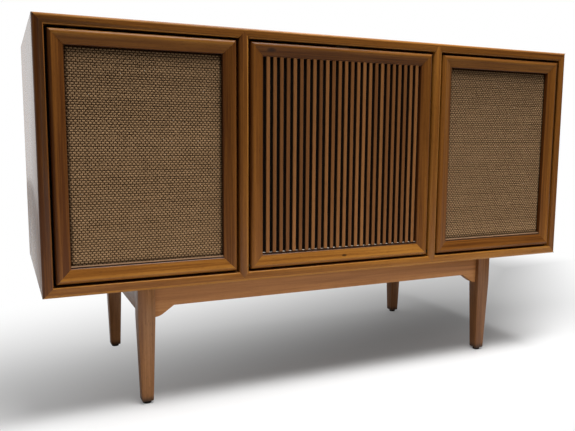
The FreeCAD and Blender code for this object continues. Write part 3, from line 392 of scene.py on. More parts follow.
def lathe(name, profile, spot, along, material, steps=64):
    """A turned piece: a closed profile of (radius, height) corners, turned about an axis."""
    bm = bmesh.new()
    rings = []
    for radius, height in profile:
        if radius < AXIS_DISTANCE:
            rings.append([bm.verts.new((0.0, 0.0, height))])
            continue
        ring = []
        for step in range(steps):
            angle = FULL_TURN * step / steps
            ring.append(bm.verts.new((radius * math.cos(angle), radius * math.sin(angle), height)))
        rings.append(ring)
    for low, high in zip(rings, rings[1:]):
        for step in range(steps):
            ahead = (step + 1) % steps
            lower = [low[step % len(low)], low[ahead % len(low)]]
            upper = [high[ahead % len(high)], high[step % len(high)]]
            unique = list(dict.fromkeys(lower + upper))
            if len(unique) > 2:
                bm.faces.new(unique)
    bmesh.ops.transform(bm, matrix=facing(spot, along), verts=bm.verts)
    bmesh.ops.recalc_face_normals(bm, faces=bm.faces)
    return mesh_of(bm, name, material)


def arc(centre, radius, start, stop, steps):
    """Points of an arc, angles in degrees."""
    points = []
    for step in range(steps + 1):
        angle = math.radians(start + (stop - start) * step / steps)
        points.append((centre[0] + radius * math.cos(angle), centre[1] + radius * math.sin(angle)))
    return points


# Wood, with its darkest, middle and lightest colour

WALNUT = ((0.078, 0.022, 0.003), (0.215, 0.076, 0.011), (0.370, 0.152, 0.024))
# The front apron: the legs' walnut painted lighter, as painted light on a part the lamps leave in shade
LIT_APRON_WALNUT = ((0.212, 0.083, 0.027), (0.385, 0.162, 0.054), (0.505, 0.236, 0.085))
LEG_WALNUT = ((0.095, 0.034, 0.012), (0.225, 0.092, 0.031), (0.345, 0.163, 0.062))
# The beads' darkest colour is painted shade and their lightest a painted highlight, on the door a whitish
# glint
BEAD_WALNUT = ((0.034, 0.012, 0.004), (0.230, 0.130, 0.068), (0.310, 0.188, 0.108))
DOOR_BEAD_WALNUT = ((0.034, 0.014, 0.006), (0.250, 0.190, 0.140), (0.640, 0.580, 0.500))
# The top: walnut painted darker, as painted shade against the light from above
SHADED_TOP_WALNUT = ((0.058, 0.022, 0.009), (0.150, 0.060, 0.020), (0.250, 0.108, 0.034))
SLAT_WALNUT = ((0.078, 0.028, 0.009), (0.202, 0.080, 0.024), (0.345, 0.149, 0.048))
BOARD = ((0.060, 0.026, 0.012), (0.150, 0.072, 0.034), (0.230, 0.120, 0.060))
PINE = ((0.330, 0.190, 0.085), (0.480, 0.310, 0.150), (0.600, 0.420, 0.230))

# Noise along the grain, with its sizes along and across, and the shares of the first three in the figure
BAND = ((1.10, 0.050), {"detail": 4.0, "distortion": 0.5})
LINE = ((0.30, 0.0062), {"detail": 4.0, "roughness": 0.62, "distortion": 0.3})
STREAK = ((0.16, 0.0022), {"detail": 2.0, "roughness": 0.6})
PORE = ((0.012, 0.0007), {"detail": 1.0})
BAND_SHARE = 0.46
LINE_SHARE = 0.30
STREAK_SHARE = 0.24
PORE_SPAN = (0.60, 0.72)
PORE_SHARE = 0.6
MIDDLE_TONE = 0.5

WOOD_GLOSS = 0.06
WOOD_ROUGHNESS = 0.34
LINE_ROUGHNESS = 0.16
PORE_ROUGHNESS = 0.1
LINE_RELIEF = 0.4
PORE_DEPTH = 0.06 * MM
PORE_STRENGTH = 0.5
KNOT_STRETCH = 2.4
KNOT_WOBBLE = 0.5
KNOT_SPAN = (0.2, 1.3)
KNOT_SHARE = 0.85
KNOT_STAIN = (0.022, 0.008, 0.003)
# The wood darker towards the foot: over what height, how much and to what colour
FOOT_DARK_HEIGHT = 12.0 * MM
FOOT_DARK_SHARE = 0.8
FOOT_DARK_COLOUR = (0.018, 0.009, 0.005)
# Painted shade in the gaps between the slats: how far behind their front it grows, its share and its colour
GAP_SHADE_SPAN = (0.2 * MM, 1.4 * MM)
GAP_SHADE_SHARE = 0.92
GAP_SHADE_COLOUR = (0.006, 0.003, 0.002)


def grain_place(finish, grain):
    """Coordinates whose X runs along the grain."""
    if grain == "board":
        return finish.attribute("board")
    place = finish.place()
    x, y, z = place.axes()
    if grain == "x":
        return place
    if grain == "y":
        return finish.gather(y, z, x)
    if grain == "z":
        return finish.gather(z, x, y)
    # A mitred frame: upright grain where the stiles are, level grain on the rails.
    centre, half_wide, half_tall = grain
    past_side = abs(x - centre.x) - half_wide
    past_end = abs(z - centre.z) - half_tall
    return finish.choose(past_side > past_end, finish.gather(x, z, y), finish.gather(z, x, y))


def wood(
    name, grain, colours, tone=MIDDLE_TONE, sheen=0.12, satin=0.34, spread=0.16,
    knots=(), dark_foot=False, front=None,
):
    """Lacquered wood with colour bands, growth lines and pores along its grain.

    The tone is a number, or the name of the attribute that holds it, and the spread is how far the
    figure strays before its colour is at its darkest or lightest. Wood with a front is painted black
    behind it, as painted shade in the gaps between the slats.
    """
    dark, middle, light = colours
    finish = Finish(name, {"Coat Roughness": satin, "Coat Weight": sheen, "Specular IOR Level": WOOD_GLOSS})
    board = grain_place(finish, grain)

    def streaks(size, settings):
        long, across = size
        return finish.noise(board.vector("DIVIDE", (long, across, across)), **settings)

    bands = streaks(*BAND)
    lines = streaks(*LINE)
    fine = streaks(*STREAK)
    pores = streaks(*PORE).eased(*PORE_SPAN)
    figure = bands * BAND_SHARE + lines * LINE_SHARE + fine * STREAK_SHARE
    if isinstance(tone, str):
        tone = finish.attribute(tone, "Fac")
    stops = [(MIDDLE_TONE - spread, dark), (MIDDLE_TONE, middle), (MIDDLE_TONE + spread, light)]
    colour = finish.ramp(figure + (tone - MIDDLE_TONE), stops)
    colour = finish.overlaid(colour, pores * PORE_SHARE, dark)
    for (knot_x, knot_z), size in knots:
        x, _, z = finish.place().axes()
        aside = (x - knot_x) / (size * KNOT_STRETCH)
        above = (z - knot_z) / size
        reach = aside ** 2.0 + above ** 2.0 + lines * KNOT_WOBBLE
        heart = 1.0 - reach.eased(*KNOT_SPAN)
        colour = finish.overlaid(colour, heart * KNOT_SHARE, KNOT_STAIN)
    # Darker towards the foot, over a wavy height
    if dark_foot:
        _, _, height = finish.place().axes()
        foot_dark = 1.0 - (height + lines * FOOT_DARK_HEIGHT).eased(FOOT_DARK_HEIGHT, FOOT_DARK_HEIGHT * 2)
        colour = finish.overlaid(colour, foot_dark * FOOT_DARK_SHARE, FOOT_DARK_COLOUR)
    # Painted shade: black behind the front, on the slats' sides in the gaps
    if front is not None:
        _, depth, _ = finish.place().axes()
        behind = (depth - front).eased(*GAP_SHADE_SPAN)
        colour = finish.overlaid(colour, behind * GAP_SHADE_SHARE, GAP_SHADE_COLOUR)
    roughness = WOOD_ROUGHNESS + lines * LINE_ROUGHNESS + pores * PORE_ROUGHNESS
    finish.set({"Base Color": colour, "Roughness": roughness})
    finish.bump(lines * LINE_RELIEF - pores, PORE_DEPTH, PORE_STRENGTH)
    return finish.material


# Other finishes

MOTTLE_STOPS = (0.32, 0.68)
# The size of a patch against the grain's, the shares of both in the shade, and the shade's in the gloss
PATCH_SIZE = 12
PATCH_SHARE = 0.6
SPECK_SHARE = 0.4
SHADE_ROUGHNESS = 0.3
MARK_STOPS = (0.3, 0.7)
MARK_SHARE = 0.7
DRIFT_SHARE = 0.3
MARK_DEPTH = 0.02 * MM
MARK_STRENGTH = 0.4


def shaded(colour, share):
    """A colour made darker or lighter."""
    return tuple(min(part * share, 1.0) for part in colour)


def mottled(name, colour, roughness, metal=0.0, grain=1.0 * MM, spread=0.18, bump=0.0, gloss=0.5):
    """A surface whose colour and gloss drift a little, with a fine texture."""
    finish = Finish(name, {"Metallic": metal, "Specular IOR Level": gloss})
    place = finish.place()
    patch = finish.noise(place, detail=4.0, scale=1.0 / (grain * PATCH_SIZE))
    speck = finish.noise(place, detail=3.0, roughness=0.7, scale=1.0 / grain)
    shade = patch * PATCH_SHARE + speck * SPECK_SHARE
    ends = (shaded(colour, 1.0 - spread), shaded(colour, 1.0 + spread))
    finish.set({"Base Color": finish.ramp(shade, list(zip(MOTTLE_STOPS, ends)))})
    finish.set({"Roughness": roughness + (shade - 0.5) * SHADE_ROUGHNESS})
    if bump:
        finish.bump(speck, bump)
    return finish.material


def tooled(finish, marks, colour, roughness, dulling, shadow, patches):
    """Bare metal with fine tool marks that are darker and duller, in patches that drift a little."""
    drift = finish.noise(finish.place(), scale=patches)
    shade = marks * MARK_SHARE + drift * DRIFT_SHARE
    ends = (shaded(colour, shadow), colour)
    finish.set({"Base Color": finish.ramp(shade, list(zip(MARK_STOPS, ends)))})
    finish.set({"Roughness": roughness + marks * dulling, "Metallic": 1.0})
    finish.bump(marks, MARK_DEPTH, MARK_STRENGTH)
    return finish.material


def brushed(name, colour, roughness, stretch, grain=0.5 * MM):
    """Metal with fine brush lines. The stretch is how much longer the lines are on each axis."""
    finish = Finish(name, {})
    place = finish.place().vector("DIVIDE", tuple(grain * part for part in stretch))
    lines = finish.noise(place, detail=3.0, roughness=0.6)
    return tooled(finish, lines, colour, roughness, dulling=0.18, shadow=0.72, patches=14.0)


def spun(name, colour, roughness, centre, pitch):
    """Metal turned on a lathe, with rings round an upright axis."""
    finish = Finish(name, {})
    x, y, _ = finish.place().axes()
    radius = ((x - centre.x) ** 2.0 + (y - centre.y) ** 2.0) ** 0.5
    rings = finish.noise(finish.gather(radius / pitch, 0.0, 0.0), detail=3.0, roughness=0.7)
    return tooled(finish, rings, colour, roughness, dulling=0.2, shadow=0.7, patches=18.0)


WEFT_STOPS = [(0.30, (0.204, 0.116, 0.054)), (0.70, (0.452, 0.286, 0.150))]
WARP_STOPS = [(0.30, (0.045, 0.022, 0.009)), (0.70, (0.110, 0.058, 0.026))]
FIBRE_SIZE = 0.9 * MM
FIBRE_SHARE = 0.82
FIBRE_DEPTH = 0.25 * MM
FIBRE_STRENGTH = 0.6
BLOTCH_SIZE = 45 * MM
BLOTCH_SHARE = 0.12
YARN_SHARE = 0.06
# Darker along the cloth's foot, painted shade towards its top, then painted shade where it falls back
CLOTH_FOOT_SPAN = (13 * MM, 21 * MM)
CLOTH_FOOT_SHARE = 0.55
CLOTH_TOP_SHADE_SPAN = (0.20, 0.38)
CLOTH_TOP_SHADE_SHARE = 0.16
CLOTH_DARKENING = (0.020, 0.011, 0.006)
EDGE_SHADE_SHARE = 0.9
EDGE_SHADE_COLOUR = (0.012, 0.008, 0.005)


def yarn_cloth(name, foot):
    """Coarse cotton yarn: light tan weft over browner warp, each yarn of its own tone.

    The cloth is darker along its foot, a little darker towards its top as painted shade, and painted dark
    where it falls back, as the shade along its edges.
    """
    finish = Finish(name, {"Roughness": 0.9, "Specular IOR Level": 0.08})
    place = finish.place()
    warp = finish.attribute("warp", "Fac")
    tone = finish.attribute("tone", "Fac")
    fall = finish.attribute("fall", "Fac")
    fibres = finish.noise(place, detail=3.0, roughness=0.7, scale=1.0 / FIBRE_SIZE)
    blotch = finish.noise(place, detail=2.0, scale=1.0 / BLOTCH_SIZE)
    shade = fibres * FIBRE_SHARE + blotch * BLOTCH_SHARE + tone * YARN_SHARE
    colour = finish.mix(warp, finish.ramp(shade, WEFT_STOPS), finish.ramp(shade, WARP_STOPS))
    # Darker along the foot, and painted shade towards the top
    height = place.axes()[2] - foot
    darkened = (1.0 - height.eased(*CLOTH_FOOT_SPAN)) * CLOTH_FOOT_SHARE + height.eased(*CLOTH_TOP_SHADE_SPAN) * CLOTH_TOP_SHADE_SHARE
    colour = finish.overlaid(colour, darkened, CLOTH_DARKENING)
    # Painted shade where the cloth falls back at its edges
    finish.set({"Base Color": finish.overlaid(colour, fall * EDGE_SHADE_SHARE, EDGE_SHADE_COLOUR)})
    finish.bump(fibres, FIBRE_DEPTH, FIBRE_STRENGTH)
    return finish.material


GLASS_STOPS = [(0.3, (0.93, 0.95, 0.94)), (0.7, (0.99, 0.99, 0.98))]
SMUDGE_SCALE = 30.0
SMUDGE_ROUGHNESS = 0.05


def clear_glass(name):
    finish = Finish(name, {"Transmission Weight": 1.0, "IOR": 1.5})
    smudge = finish.noise(finish.place(), detail=3.0, scale=SMUDGE_SCALE)
    finish.set({"Base Color": finish.ramp(smudge, GLASS_STOPS), "Roughness": smudge * SMUDGE_ROUGHNESS})
    return finish.material


cloth_low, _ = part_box("left_grille_cloth")
slat_front, slat_back = (corner.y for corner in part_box("door_slats"))
edging_low, edging_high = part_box("face_edging")
edging_centre = (edging_low + edging_high) / 2
edging_half = (edging_high - edging_low) / 2
edging_grain = (edging_centre, edging_half.x, edging_half.z)
spindle_spot = middle_of(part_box("spindle"))
# Each knot's place and size
DOOR_KNOTS = [((-0.163, 0.667), 5 * MM), ((0.0, 0.266), 3 * MM)]
FACE_SHEEN = 0.28
SLAT_SHEEN = 0.2
SLAT_SPREAD = 0.28
SIDE_SATIN = 0.27
BEAD_SHEEN = 0.05

walnut_face = wood("walnut_face", edging_grain, WALNUT, "tone", FACE_SHEEN)
walnut_top = wood("walnut_top", "x", SHADED_TOP_WALNUT, sheen=0.25)
walnut_divider = wood("walnut_divider", "z", WALNUT, "tone", FACE_SHEEN)
walnut_upright = wood("walnut_upright", "z", WALNUT, sheen=FACE_SHEEN)
walnut_side = wood("walnut_side", "z", WALNUT, sheen=1.0, satin=SIDE_SATIN)
walnut_leg = wood("walnut_leg", "z", LEG_WALNUT, sheen=0.35, dark_foot=True)
walnut_apron = wood("walnut_apron", "x", LIT_APRON_WALNUT)
walnut_back_apron = wood("walnut_back_apron", "x", LEG_WALNUT)
walnut_side_apron = wood("walnut_side_apron", "y", LEG_WALNUT, sheen=0.6, satin=SIDE_SATIN)
walnut_moulding = wood("walnut_moulding", "board", WALNUT, "tone", FACE_SHEEN)
walnut_door = wood("walnut_door", "board", WALNUT, "tone", FACE_SHEEN, knots=DOOR_KNOTS)
walnut_slat = wood(
    "walnut_slat", "board", SLAT_WALNUT, "tone", SLAT_SHEEN, spread=SLAT_SPREAD, front=slat_front,
)
walnut_bead = wood("walnut_bead", "x", BEAD_WALNUT, "tone", BEAD_SHEEN)
walnut_door_bead = wood("walnut_door_bead", "x", DOOR_BEAD_WALNUT, "tone", BEAD_SHEEN)

finishes = {
    "walnut": wood("walnut_level", "x", WALNUT),
    "slat_walnut": walnut_slat,
    "inner_board": wood("inner_board", "x", BOARD, sheen=0.1),
    "softwood": wood("softwood", "x", PINE, sheen=0.0),
    "grille_cloth": yarn_cloth("grille_cloth", cloth_low.z),
    "platter_metal": spun("platter_metal", (0.62, 0.61, 0.58), 0.25, spindle_spot, pitch=0.8 * MM),
    "panel_metal": brushed("panel_metal", (0.66, 0.58, 0.42), 0.30, stretch=(60.0, 1.0, 1.0)),
    "dial_glass": clear_glass("dial_glass"),
}
# Mottled surfaces: colour, roughness and what differs from the usual
MOTTLED = {
    "black_board": ((0.008, 0.006, 0.005), 0.8, {"grain": 2 * MM, "gloss": 0.1}),
    "hardboard": ((0.130, 0.068, 0.032), 0.72, {"grain": 1.5 * MM, "spread": 0.3, "bump": 0.15 * MM}),
    "steel": ((0.50, 0.50, 0.49), 0.34, {"metal": 1.0, "grain": 3 * MM}),
    "brass": ((0.62, 0.42, 0.16), 0.30, {"metal": 1.0, "grain": 4 * MM}),
    "painted_steel": ((0.40, 0.36, 0.29), 0.36, {"grain": 1.2 * MM, "spread": 0.06, "bump": 0.05 * MM}),
    "chassis_steel": ((0.46, 0.46, 0.45), 0.42, {"metal": 1.0, "grain": 9 * MM, "spread": 0.25}),
    "cone_paper": ((0.030, 0.028, 0.026), 0.88, {"grain": 1.5 * MM, "spread": 0.4, "bump": 0.2 * MM}),
    "black_plastic": ((0.014, 0.013, 0.012), 0.42, {"bump": 0.04 * MM}),
    "latch_plastic": ((0.55, 0.50, 0.40), 0.45, {"spread": 0.05}),
    "rubber": ((0.018, 0.017, 0.016), 0.75, {"spread": 0.3, "bump": 0.05 * MM}),
    "knob_metal": ((0.70, 0.62, 0.46), 0.26, {"metal": 1.0, "grain": 2 * MM}),
    "pointer_red": ((0.55, 0.030, 0.015), 0.40, {"spread": 0.08}),
    # Painted shade: the black sheet behind the grille cloth
    "lining_cloth": ((0.012, 0.011, 0.010), 0.9, {"spread": 0.3, "bump": 0.1 * MM}),
    "pin_brass": ((0.030, 0.022, 0.012), 0.5, {"metal": 1.0, "grain": 2 * MM}),
    "glide_steel": ((0.024, 0.020, 0.016), 0.6, {"metal": 1.0, "grain": 2 * MM}),
    "dial_ink": ((0.030, 0.022, 0.018), 0.6, {}),
    "dial_cream": ((0.72, 0.66, 0.50), 0.5, {"spread": 0.05}),
}
for finish_name, (plain_colour, plain_roughness, usual_but) in MOTTLED.items():
    finishes[finish_name] = mottled(finish_name, plain_colour, plain_roughness, **usual_but)
for node_object in nodes.values():
    for material_slot in node_object.material_slots:
        material_slot.material = finishes[material_slot.material.name]
nodes["door_pivot_pins"].material_slots[0].material = finishes["pin_brass"]
nodes["foot_glides"].material_slots[0].material = finishes["glide_steel"]


# Framed panels

MOULDING_WIDTH = 25.5 * MM
MOULDING_DEPTH = 19.0 * MM
MOULDING_ROUND = 6.0 * MM
MOULDING_FALL = 5.0 * MM
CREST_RADIUS = 9.0 * MM
CREST_TURN = 24.0
HOLLOW_RADIUS = 14.0 * MM
FACE_TILT = 14.6
RABBET_WIDTH = 8.0 * MM
RABBET_DEPTH = 6.0 * MM
ARRIS = 1.0 * MM
ROUND_STEPS = 8
CREST_STEPS = 6
MITRE_GAP = 0.08 * MM
# How far apart on the wood's figure the bars of a frame lie, and the frames
BOARD_SHIFT = 3.7
FRAME_SHIFT = 20.0
FRAME_SHARP = 28.0
# The tone of the bottom, top, left and right bar, partly the board's own and partly painted light
# and shade, and how much lighter its crest is painted as a painted highlight
BAR_TONES = {
    "left_grille_frame": ((0.52, 0.17), (0.46, 0.10), (0.355, 0.14), (0.46, 0.02)),
    "door_frame": ((0.50, 0.14), (0.45, 0.08), (0.41, 0.07), (0.45, 0.02)),
    "right_grille_frame": ((0.42, 0.10), (0.51, 0.08), (0.48, 0.06), (0.51, 0.05)),
}
PLAIN_TONES = ((MIDDLE_TONE, 0.0),) * 4
# Where the crest's painted highlight starts, peaks and ends, inward from the outer edge
CREST_SPAN = (3.0 * MM, 7.0 * MM, 14.0 * MM)
# Painted shade on the opening's inner wall: its darkest tone
WALL_SHADE_TONE = 0.2
BEAD_HEIGHT = 4.0 * MM
BEAD_DEPTH = 3.5 * MM
BEAD_SETBACK = 1.0 * MM
BEAD_EASE = 0.8 * MM
# The tones of the painted shade low on a bead and of the painted highlight above it
BEAD_SHADE_TONE = -0.35
BEAD_HIGHLIGHT_TONE = 1.2
# Each bead's wood and how much of its height is painted dark as shade: its foot, or on the door its whole
# face; above, a painted highlight
GRILLE_BEAD = (walnut_bead, 0.5)
DOOR_BEAD = (walnut_door_bead, 0.99)


def moulding_profile():
    """The moulding's (depth, inward) corners: round, crest, hollow, sloping face and rabbet."""
    shoulder = MOULDING_DEPTH - RABBET_DEPTH
    turn = math.radians(CREST_TURN)
    both = CREST_RADIUS + HOLLOW_RADIUS
    hollow = (CREST_RADIUS - both * math.cos(turn), MOULDING_ROUND + both * math.sin(turn))
    points = [(MOULDING_DEPTH, 0.0)]
    points += arc((MOULDING_ROUND, MOULDING_ROUND), MOULDING_ROUND, 270.0, 180.0, ROUND_STEPS)
    points += arc((CREST_RADIUS, MOULDING_ROUND), CREST_RADIUS, 180.0, 180.0 - CREST_TURN, CREST_STEPS)[1:]
    points += arc(hollow, HOLLOW_RADIUS, -CREST_TURN, -FACE_TILT, CREST_STEPS)[1:]
    points.append((MOULDING_FALL, MOULDING_WIDTH - ARRIS))
    points.append((MOULDING_FALL + ARRIS, MOULDING_WIDTH))
    points.append((shoulder, MOULDING_WIDTH))
    points.append((shoulder, MOULDING_WIDTH - RABBET_WIDTH))
    points.append((MOULDING_DEPTH, MOULDING_WIDTH - RABBET_WIDTH))
    return points


def crest_share(inside):
    """How near the crest a point is, from 0 to 1: a painted highlight lightens the finish there."""
    start, top, end = CREST_SPAN
    rise = (inside - start) / (top - start)
    fall = (end - inside) / (end - top)
    return max(0.0, min(rise, fall, 1.0))


def profile_tone(tone, depth, inside):
    """The tone at a point of the profile: lighter on the crest, a painted highlight, and darkest on the
    opening's wall, painted shade.
    """
    if inside > MOULDING_WIDTH - ARRIS / 2 and depth > MOULDING_FALL + ARRIS / 2:
        return WALL_SHADE_TONE
    plain, painted_highlight = tone
    return plain + painted_highlight * crest_share(inside)


def mitred_bar(bm, profile, middle, way, inward, half, shift, tone):
    """One bar of a frame, from mitre to mitre. Layers keep each point's tone and place on its board."""
    board = bm.verts.layers.float_vector["board"]
    tones = bm.verts.layers.float["tone"]
    ends = []
    for side in (-1, 1):
        ring = []
        for depth, inside in profile:
            along = side * (half - inside - MITRE_GAP)
            vert = bm.verts.new(middle + way * along + inward * inside + Vector((0.0, depth, 0.0)))
            vert[board] = (along + shift, inside, depth)
            vert[tones] = profile_tone(tone, depth, inside)
            ring.append(vert)
        ends.append(ring)
    first, last = ends
    for step in range(len(profile)):
        ahead = (step + 1) % len(profile)
        bm.faces.new((first[step], first[ahead], last[ahead], last[step]))
    bm.faces.new(first)
    bm.faces.new(last)


def mitred_frame(name, profile, low, high, shift, material, tones):
    """Four mitred bars of one profile, with their fronts on the low corner's plane."""
    bm = bmesh.new()
    bm.verts.layers.float_vector.new("board")
    bm.verts.layers.float.new("tone")
    centre = (low + high) / 2
    half = (high - low) / 2
    across = Vector((1.0, 0.0, 0.0))
    up = Vector(UPWARD)
    bars = [
        (Vector((centre.x, low.y, low.z)), across, up, half.x),
        (Vector((centre.x, low.y, high.z)), across, -up, half.x),
        (Vector((low.x, low.y, centre.z)), up, across, half.z),
        (Vector((high.x, low.y, centre.z)), up, -across, half.z),
    ]
    for number, (bar, tone) in enumerate(zip(bars, tones)):
        mitred_bar(bm, profile, *bar, shift + number * BOARD_SHIFT, tone)
    bmesh.ops.recalc_face_normals(bm, faces=bm.faces)
    return mesh_of(bm, name, material, FRAME_SHARP)


def inset_box(corners, margin, front, back):
    """The corners of a box inside another's outline by a margin, from a front to a back."""
    low, high = corners
    inner_low = Vector((low.x + margin, front, low.z + margin))
    inner_high = Vector((high.x - margin, back, high.z - margin))
    return inner_low, inner_high


def block_piece(name, low, high, radius, material, body, slot):
    """A block with all its edges eased, as a piece of its own."""
    bm = bmesh.new()
    bmesh.ops.create_cube(bm, size=1.0)
    bmesh.ops.scale(bm, vec=high - low, verts=bm.verts)
    bmesh.ops.translate(bm, vec=(low + high) / 2, verts=bm.verts)
    bmesh.ops.bevel(bm, geom=list(bm.edges), offset=radius, segments=2, profile=0.5, affect="EDGES")
    return settle_mesh(mesh_of(bm, name, material), body)


def opening_bead(name, low, high, look, body):
    """The bead along the foot of an opening, painted dark as shade up to a share of its height and light
    above as a painted highlight.
    """
    material, dark = look
    mesh = block_piece(name, low, high, BEAD_EASE, material, body, "walnut").data
    tones = mesh.attributes.new("tone", "FLOAT", "POINT")
    dark_top = low.z + (high.z - low.z) * dark
    for vert in mesh.vertices:
        tones.data[vert.index].value = BEAD_HIGHLIGHT_TONE if vert.co.z > dark_top else BEAD_SHADE_TONE


def panel_frame(node, material, shift, bead_front, bead_back, bead_look):
    """A panel's four mitred bars and the bead along the foot of its opening."""
    low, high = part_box(node)
    mesh = mitred_frame(node + "_moulding", moulding_profile(), low, high, shift, material, BAR_TONES[node])
    settle_mesh(mesh, body_of[node], [node])
    foot = low.z + MOULDING_WIDTH
    bead_low = Vector((low.x + MOULDING_WIDTH, bead_front, foot))
    bead_high = Vector((high.x - MOULDING_WIDTH, bead_back, foot + BEAD_HEIGHT))
    opening_bead(node + "_bead", bead_low, bead_high, bead_look, body_of[node])


grille_bead = (cloth_low.y - BEAD_DEPTH, cloth_low.y, GRILLE_BEAD)
door_bead = (slat_front + BEAD_SETBACK, slat_back, DOOR_BEAD)
# Each panel's wood, and its bead's front, back and look
PANELS = {
    "left_grille_frame": (walnut_moulding, grille_bead),
    "door_frame": (walnut_door, door_bead),
    "right_grille_frame": (walnut_moulding, grille_bead),
}
for panel_number, (panel_node, (timber, bead)) in enumerate(PANELS.items()):
    panel_frame(panel_node, timber, panel_number * FRAME_SHIFT, *bead)


# Upright slats of the door

SLAT_EASE = 2.0 * MM
SLAT_TONES = (0.40, 0.66)
SLAT_SHIFT = 90.0
SLAT_SHARP = 50.0
SLAT_SEED = 7


def slat_pattern(material):
    """A row of slats with eased edges. Each has its own tone, and its own place on the board."""
    pattern = Pattern("slats")
    count, seed = pattern.sizes("Count", "Seed", kind="Int")
    pitch, wide, deep, tall, ease = pattern.sizes("Pitch", "Width", "Depth", "Height", "Ease")
    start, = pattern.sizes("Start", kind="Vector")
    path = pattern.geometry("CurvePrimitiveLine", {"End": pattern.gather(0.0, 0.0, tall)})
    square = pattern.geometry("CurvePrimitiveQuadrilateral", {"Width": deep, "Height": wide})
    rounding = {"Curve": square, "Count": 3, "Radius": ease}
    section = pattern.geometry("FilletCurve", rounding, mode="POLY")
    sweep = {"Curve": path, "Profile Curve": section, "Fill Caps": True}
    slat = pattern.geometry("CurveToMesh", sweep)
    row = {"Count": count, "Start Location": start, "Offset": pattern.gather(pitch, 0.0, 0.0)}
    spots = pattern.geometry("MeshLine", row)
    slats = pattern.geometry("InstanceOnPoints", {"Points": spots, "Instance": slat})
    tone = pattern.chance(*SLAT_TONES, pattern.index(), seed)
    slats = pattern.realize(pattern.store(slats, "tone", tone, "INSTANCE"))
    x, y, z = pattern.position().axes()
    board = pattern.gather(z + pattern.recall("tone") * SLAT_SHIFT, x, y)
    slats = pattern.store(slats, "board", board, kind="FLOAT_VECTOR")
    slats = pattern.smooth(slats)
    pattern.deliver(slats, material)
    return pattern


def door_slats():
    rows = solids("door_slats")
    low, high = rows[0]
    second = rows[1][0]
    sizes = {
        "Count": len(rows),
        "Seed": SLAT_SEED,
        "Pitch": second.x - low.x,
        "Width": high.x - low.x,
        "Depth": high.y - low.y,
        "Height": high.z - low.z,
        "Ease": SLAT_EASE,
        "Start": middle_of(rows[0], z=low.z),
    }
    piece = grown(slat_pattern(finishes["slat_walnut"]), "door_slat_row", sizes)
    piece.data.set_sharp_from_angle(angle=math.radians(SLAT_SHARP))
    settle(piece, "door", ["door_slats"])


door_slats()


# Woven grille cloth

WARP_PITCH = 3.42 * MM
WEFT_PITCH = 4.13 * MM
WARP_WIDTH = 1.90 * MM
WEFT_WIDTH = 3.45 * MM
YARN_THICKNESS = 1.00 * MM
YARN_SIDES = 6
YARN_LIFT = 0.48 * YARN_THICKNESS
YARN_DRIFT = 0.05
YARN_SPREAD = (0.95, 1.05)
WAVER_SIZE = 14 * MM
WAVER = 0.8 * MM
SLUB_SIZE = 9 * MM
SLUB_LEAST = 0.85
SLUB_RISE = 0.3
# What is added to a yarn's seed for its tone and its thickness
TONE_DRAW = 5.0
RADIUS_DRAW = 9.0
CLOTH_LAP = 7.5 * MM
CLOTH_ROLL = 4.4 * MM
CLOTH_BACK = 1.4 * MM
SHADE_SHEET_THICKNESS = 0.4 * MM
SHADE_SHEET_EASE = SHADE_SHEET_THICKNESS * 0.2
SHADE_SHEET_SPACE = 2.6 * MM


def yarns(pattern, sizes, warp):
    """One set of yarns, waving over and under the other set, as flattened tubes."""
    here, there = (0, 1) if warp else (1, 0)
    counts = sizes["counts"]
    pitches = sizes["pitches"]
    crossings = counts[there]
    half = (WARP_WIDTH if warp else WEFT_WIDTH) / 2
    second = 1.0 if warp else 0.0
    seed = sizes["seed"] + second
    ways = [pattern.gather(pitches[0], 0.0, 0.0), pattern.gather(0.0, 0.0, pitches[1])]
    steps = pattern.gather(crossings - 1.0, crossings - 1.0, crossings - 1.0)
    line = pattern.geometry("CurvePrimitiveLine", {"End": ways[there].vector("MULTIPLY", steps)})
    line = pattern.geometry("ResampleCurve", {"Curve": line, "Count": crossings})
    row = {"Count": counts[here], "Start Location": sizes["start"], "Offset": ways[here]}
    spots = pattern.geometry("MeshLine", row)
    lines = pattern.geometry("InstanceOnPoints", {"Points": spots, "Instance": line})
    lines = pattern.realize(lines)
    index = pattern.index()
    number = math.floor(index / crossings)
    parity = (number + index % crossings + second) % 2.0
    lift = (parity * 2.0 - 1.0) * YARN_LIFT
    drift = pattern.chance(-YARN_DRIFT, YARN_DRIFT, number, seed) * (WARP_PITCH if warp else WEFT_PITCH)
    waver = (pattern.noise(pattern.position(), detail=2.0, scale=1.0 / WAVER_SIZE) - 0.5) * WAVER
    aside = drift + waver
    offset = pattern.gather(aside, lift, 0.0) if warp else pattern.gather(0.0, lift, aside)
    lines = pattern.store(lines, "lift", lift + sizes["start"].axes()[1])
    lines = pattern.store(lines, "tone", pattern.chance(0.0, 1.0, number, seed + TONE_DRAW))
    lines = pattern.store(lines, "warp", second)
    lines = pattern.move(lines, offset)
    slub = pattern.noise(pattern.position(), detail=2.0, scale=1.0 / SLUB_SIZE)
    radius = pattern.chance(*YARN_SPREAD, number, seed + RADIUS_DRAW) * (SLUB_LEAST + slub * SLUB_RISE)
    round_section = {"Resolution": YARN_SIDES, "Radius": half}
    section = pattern.geometry("CurvePrimitiveCircle", round_section)
    lines = pattern.geometry("SetCurveRadius", {"Curve": lines, "Radius": radius})
    sweep = {"Curve": lines, "Profile Curve": section, "Fill Caps": True, "Scale": radius}
    tubes = pattern.geometry("CurveToMesh", sweep)
    flatness = YARN_THICKNESS / (half * 2)
    away = pattern.position().axes()[1] - pattern.recall("lift")
    return pattern.move(tubes, pattern.gather(0.0, away * (flatness - 1.0), 0.0))


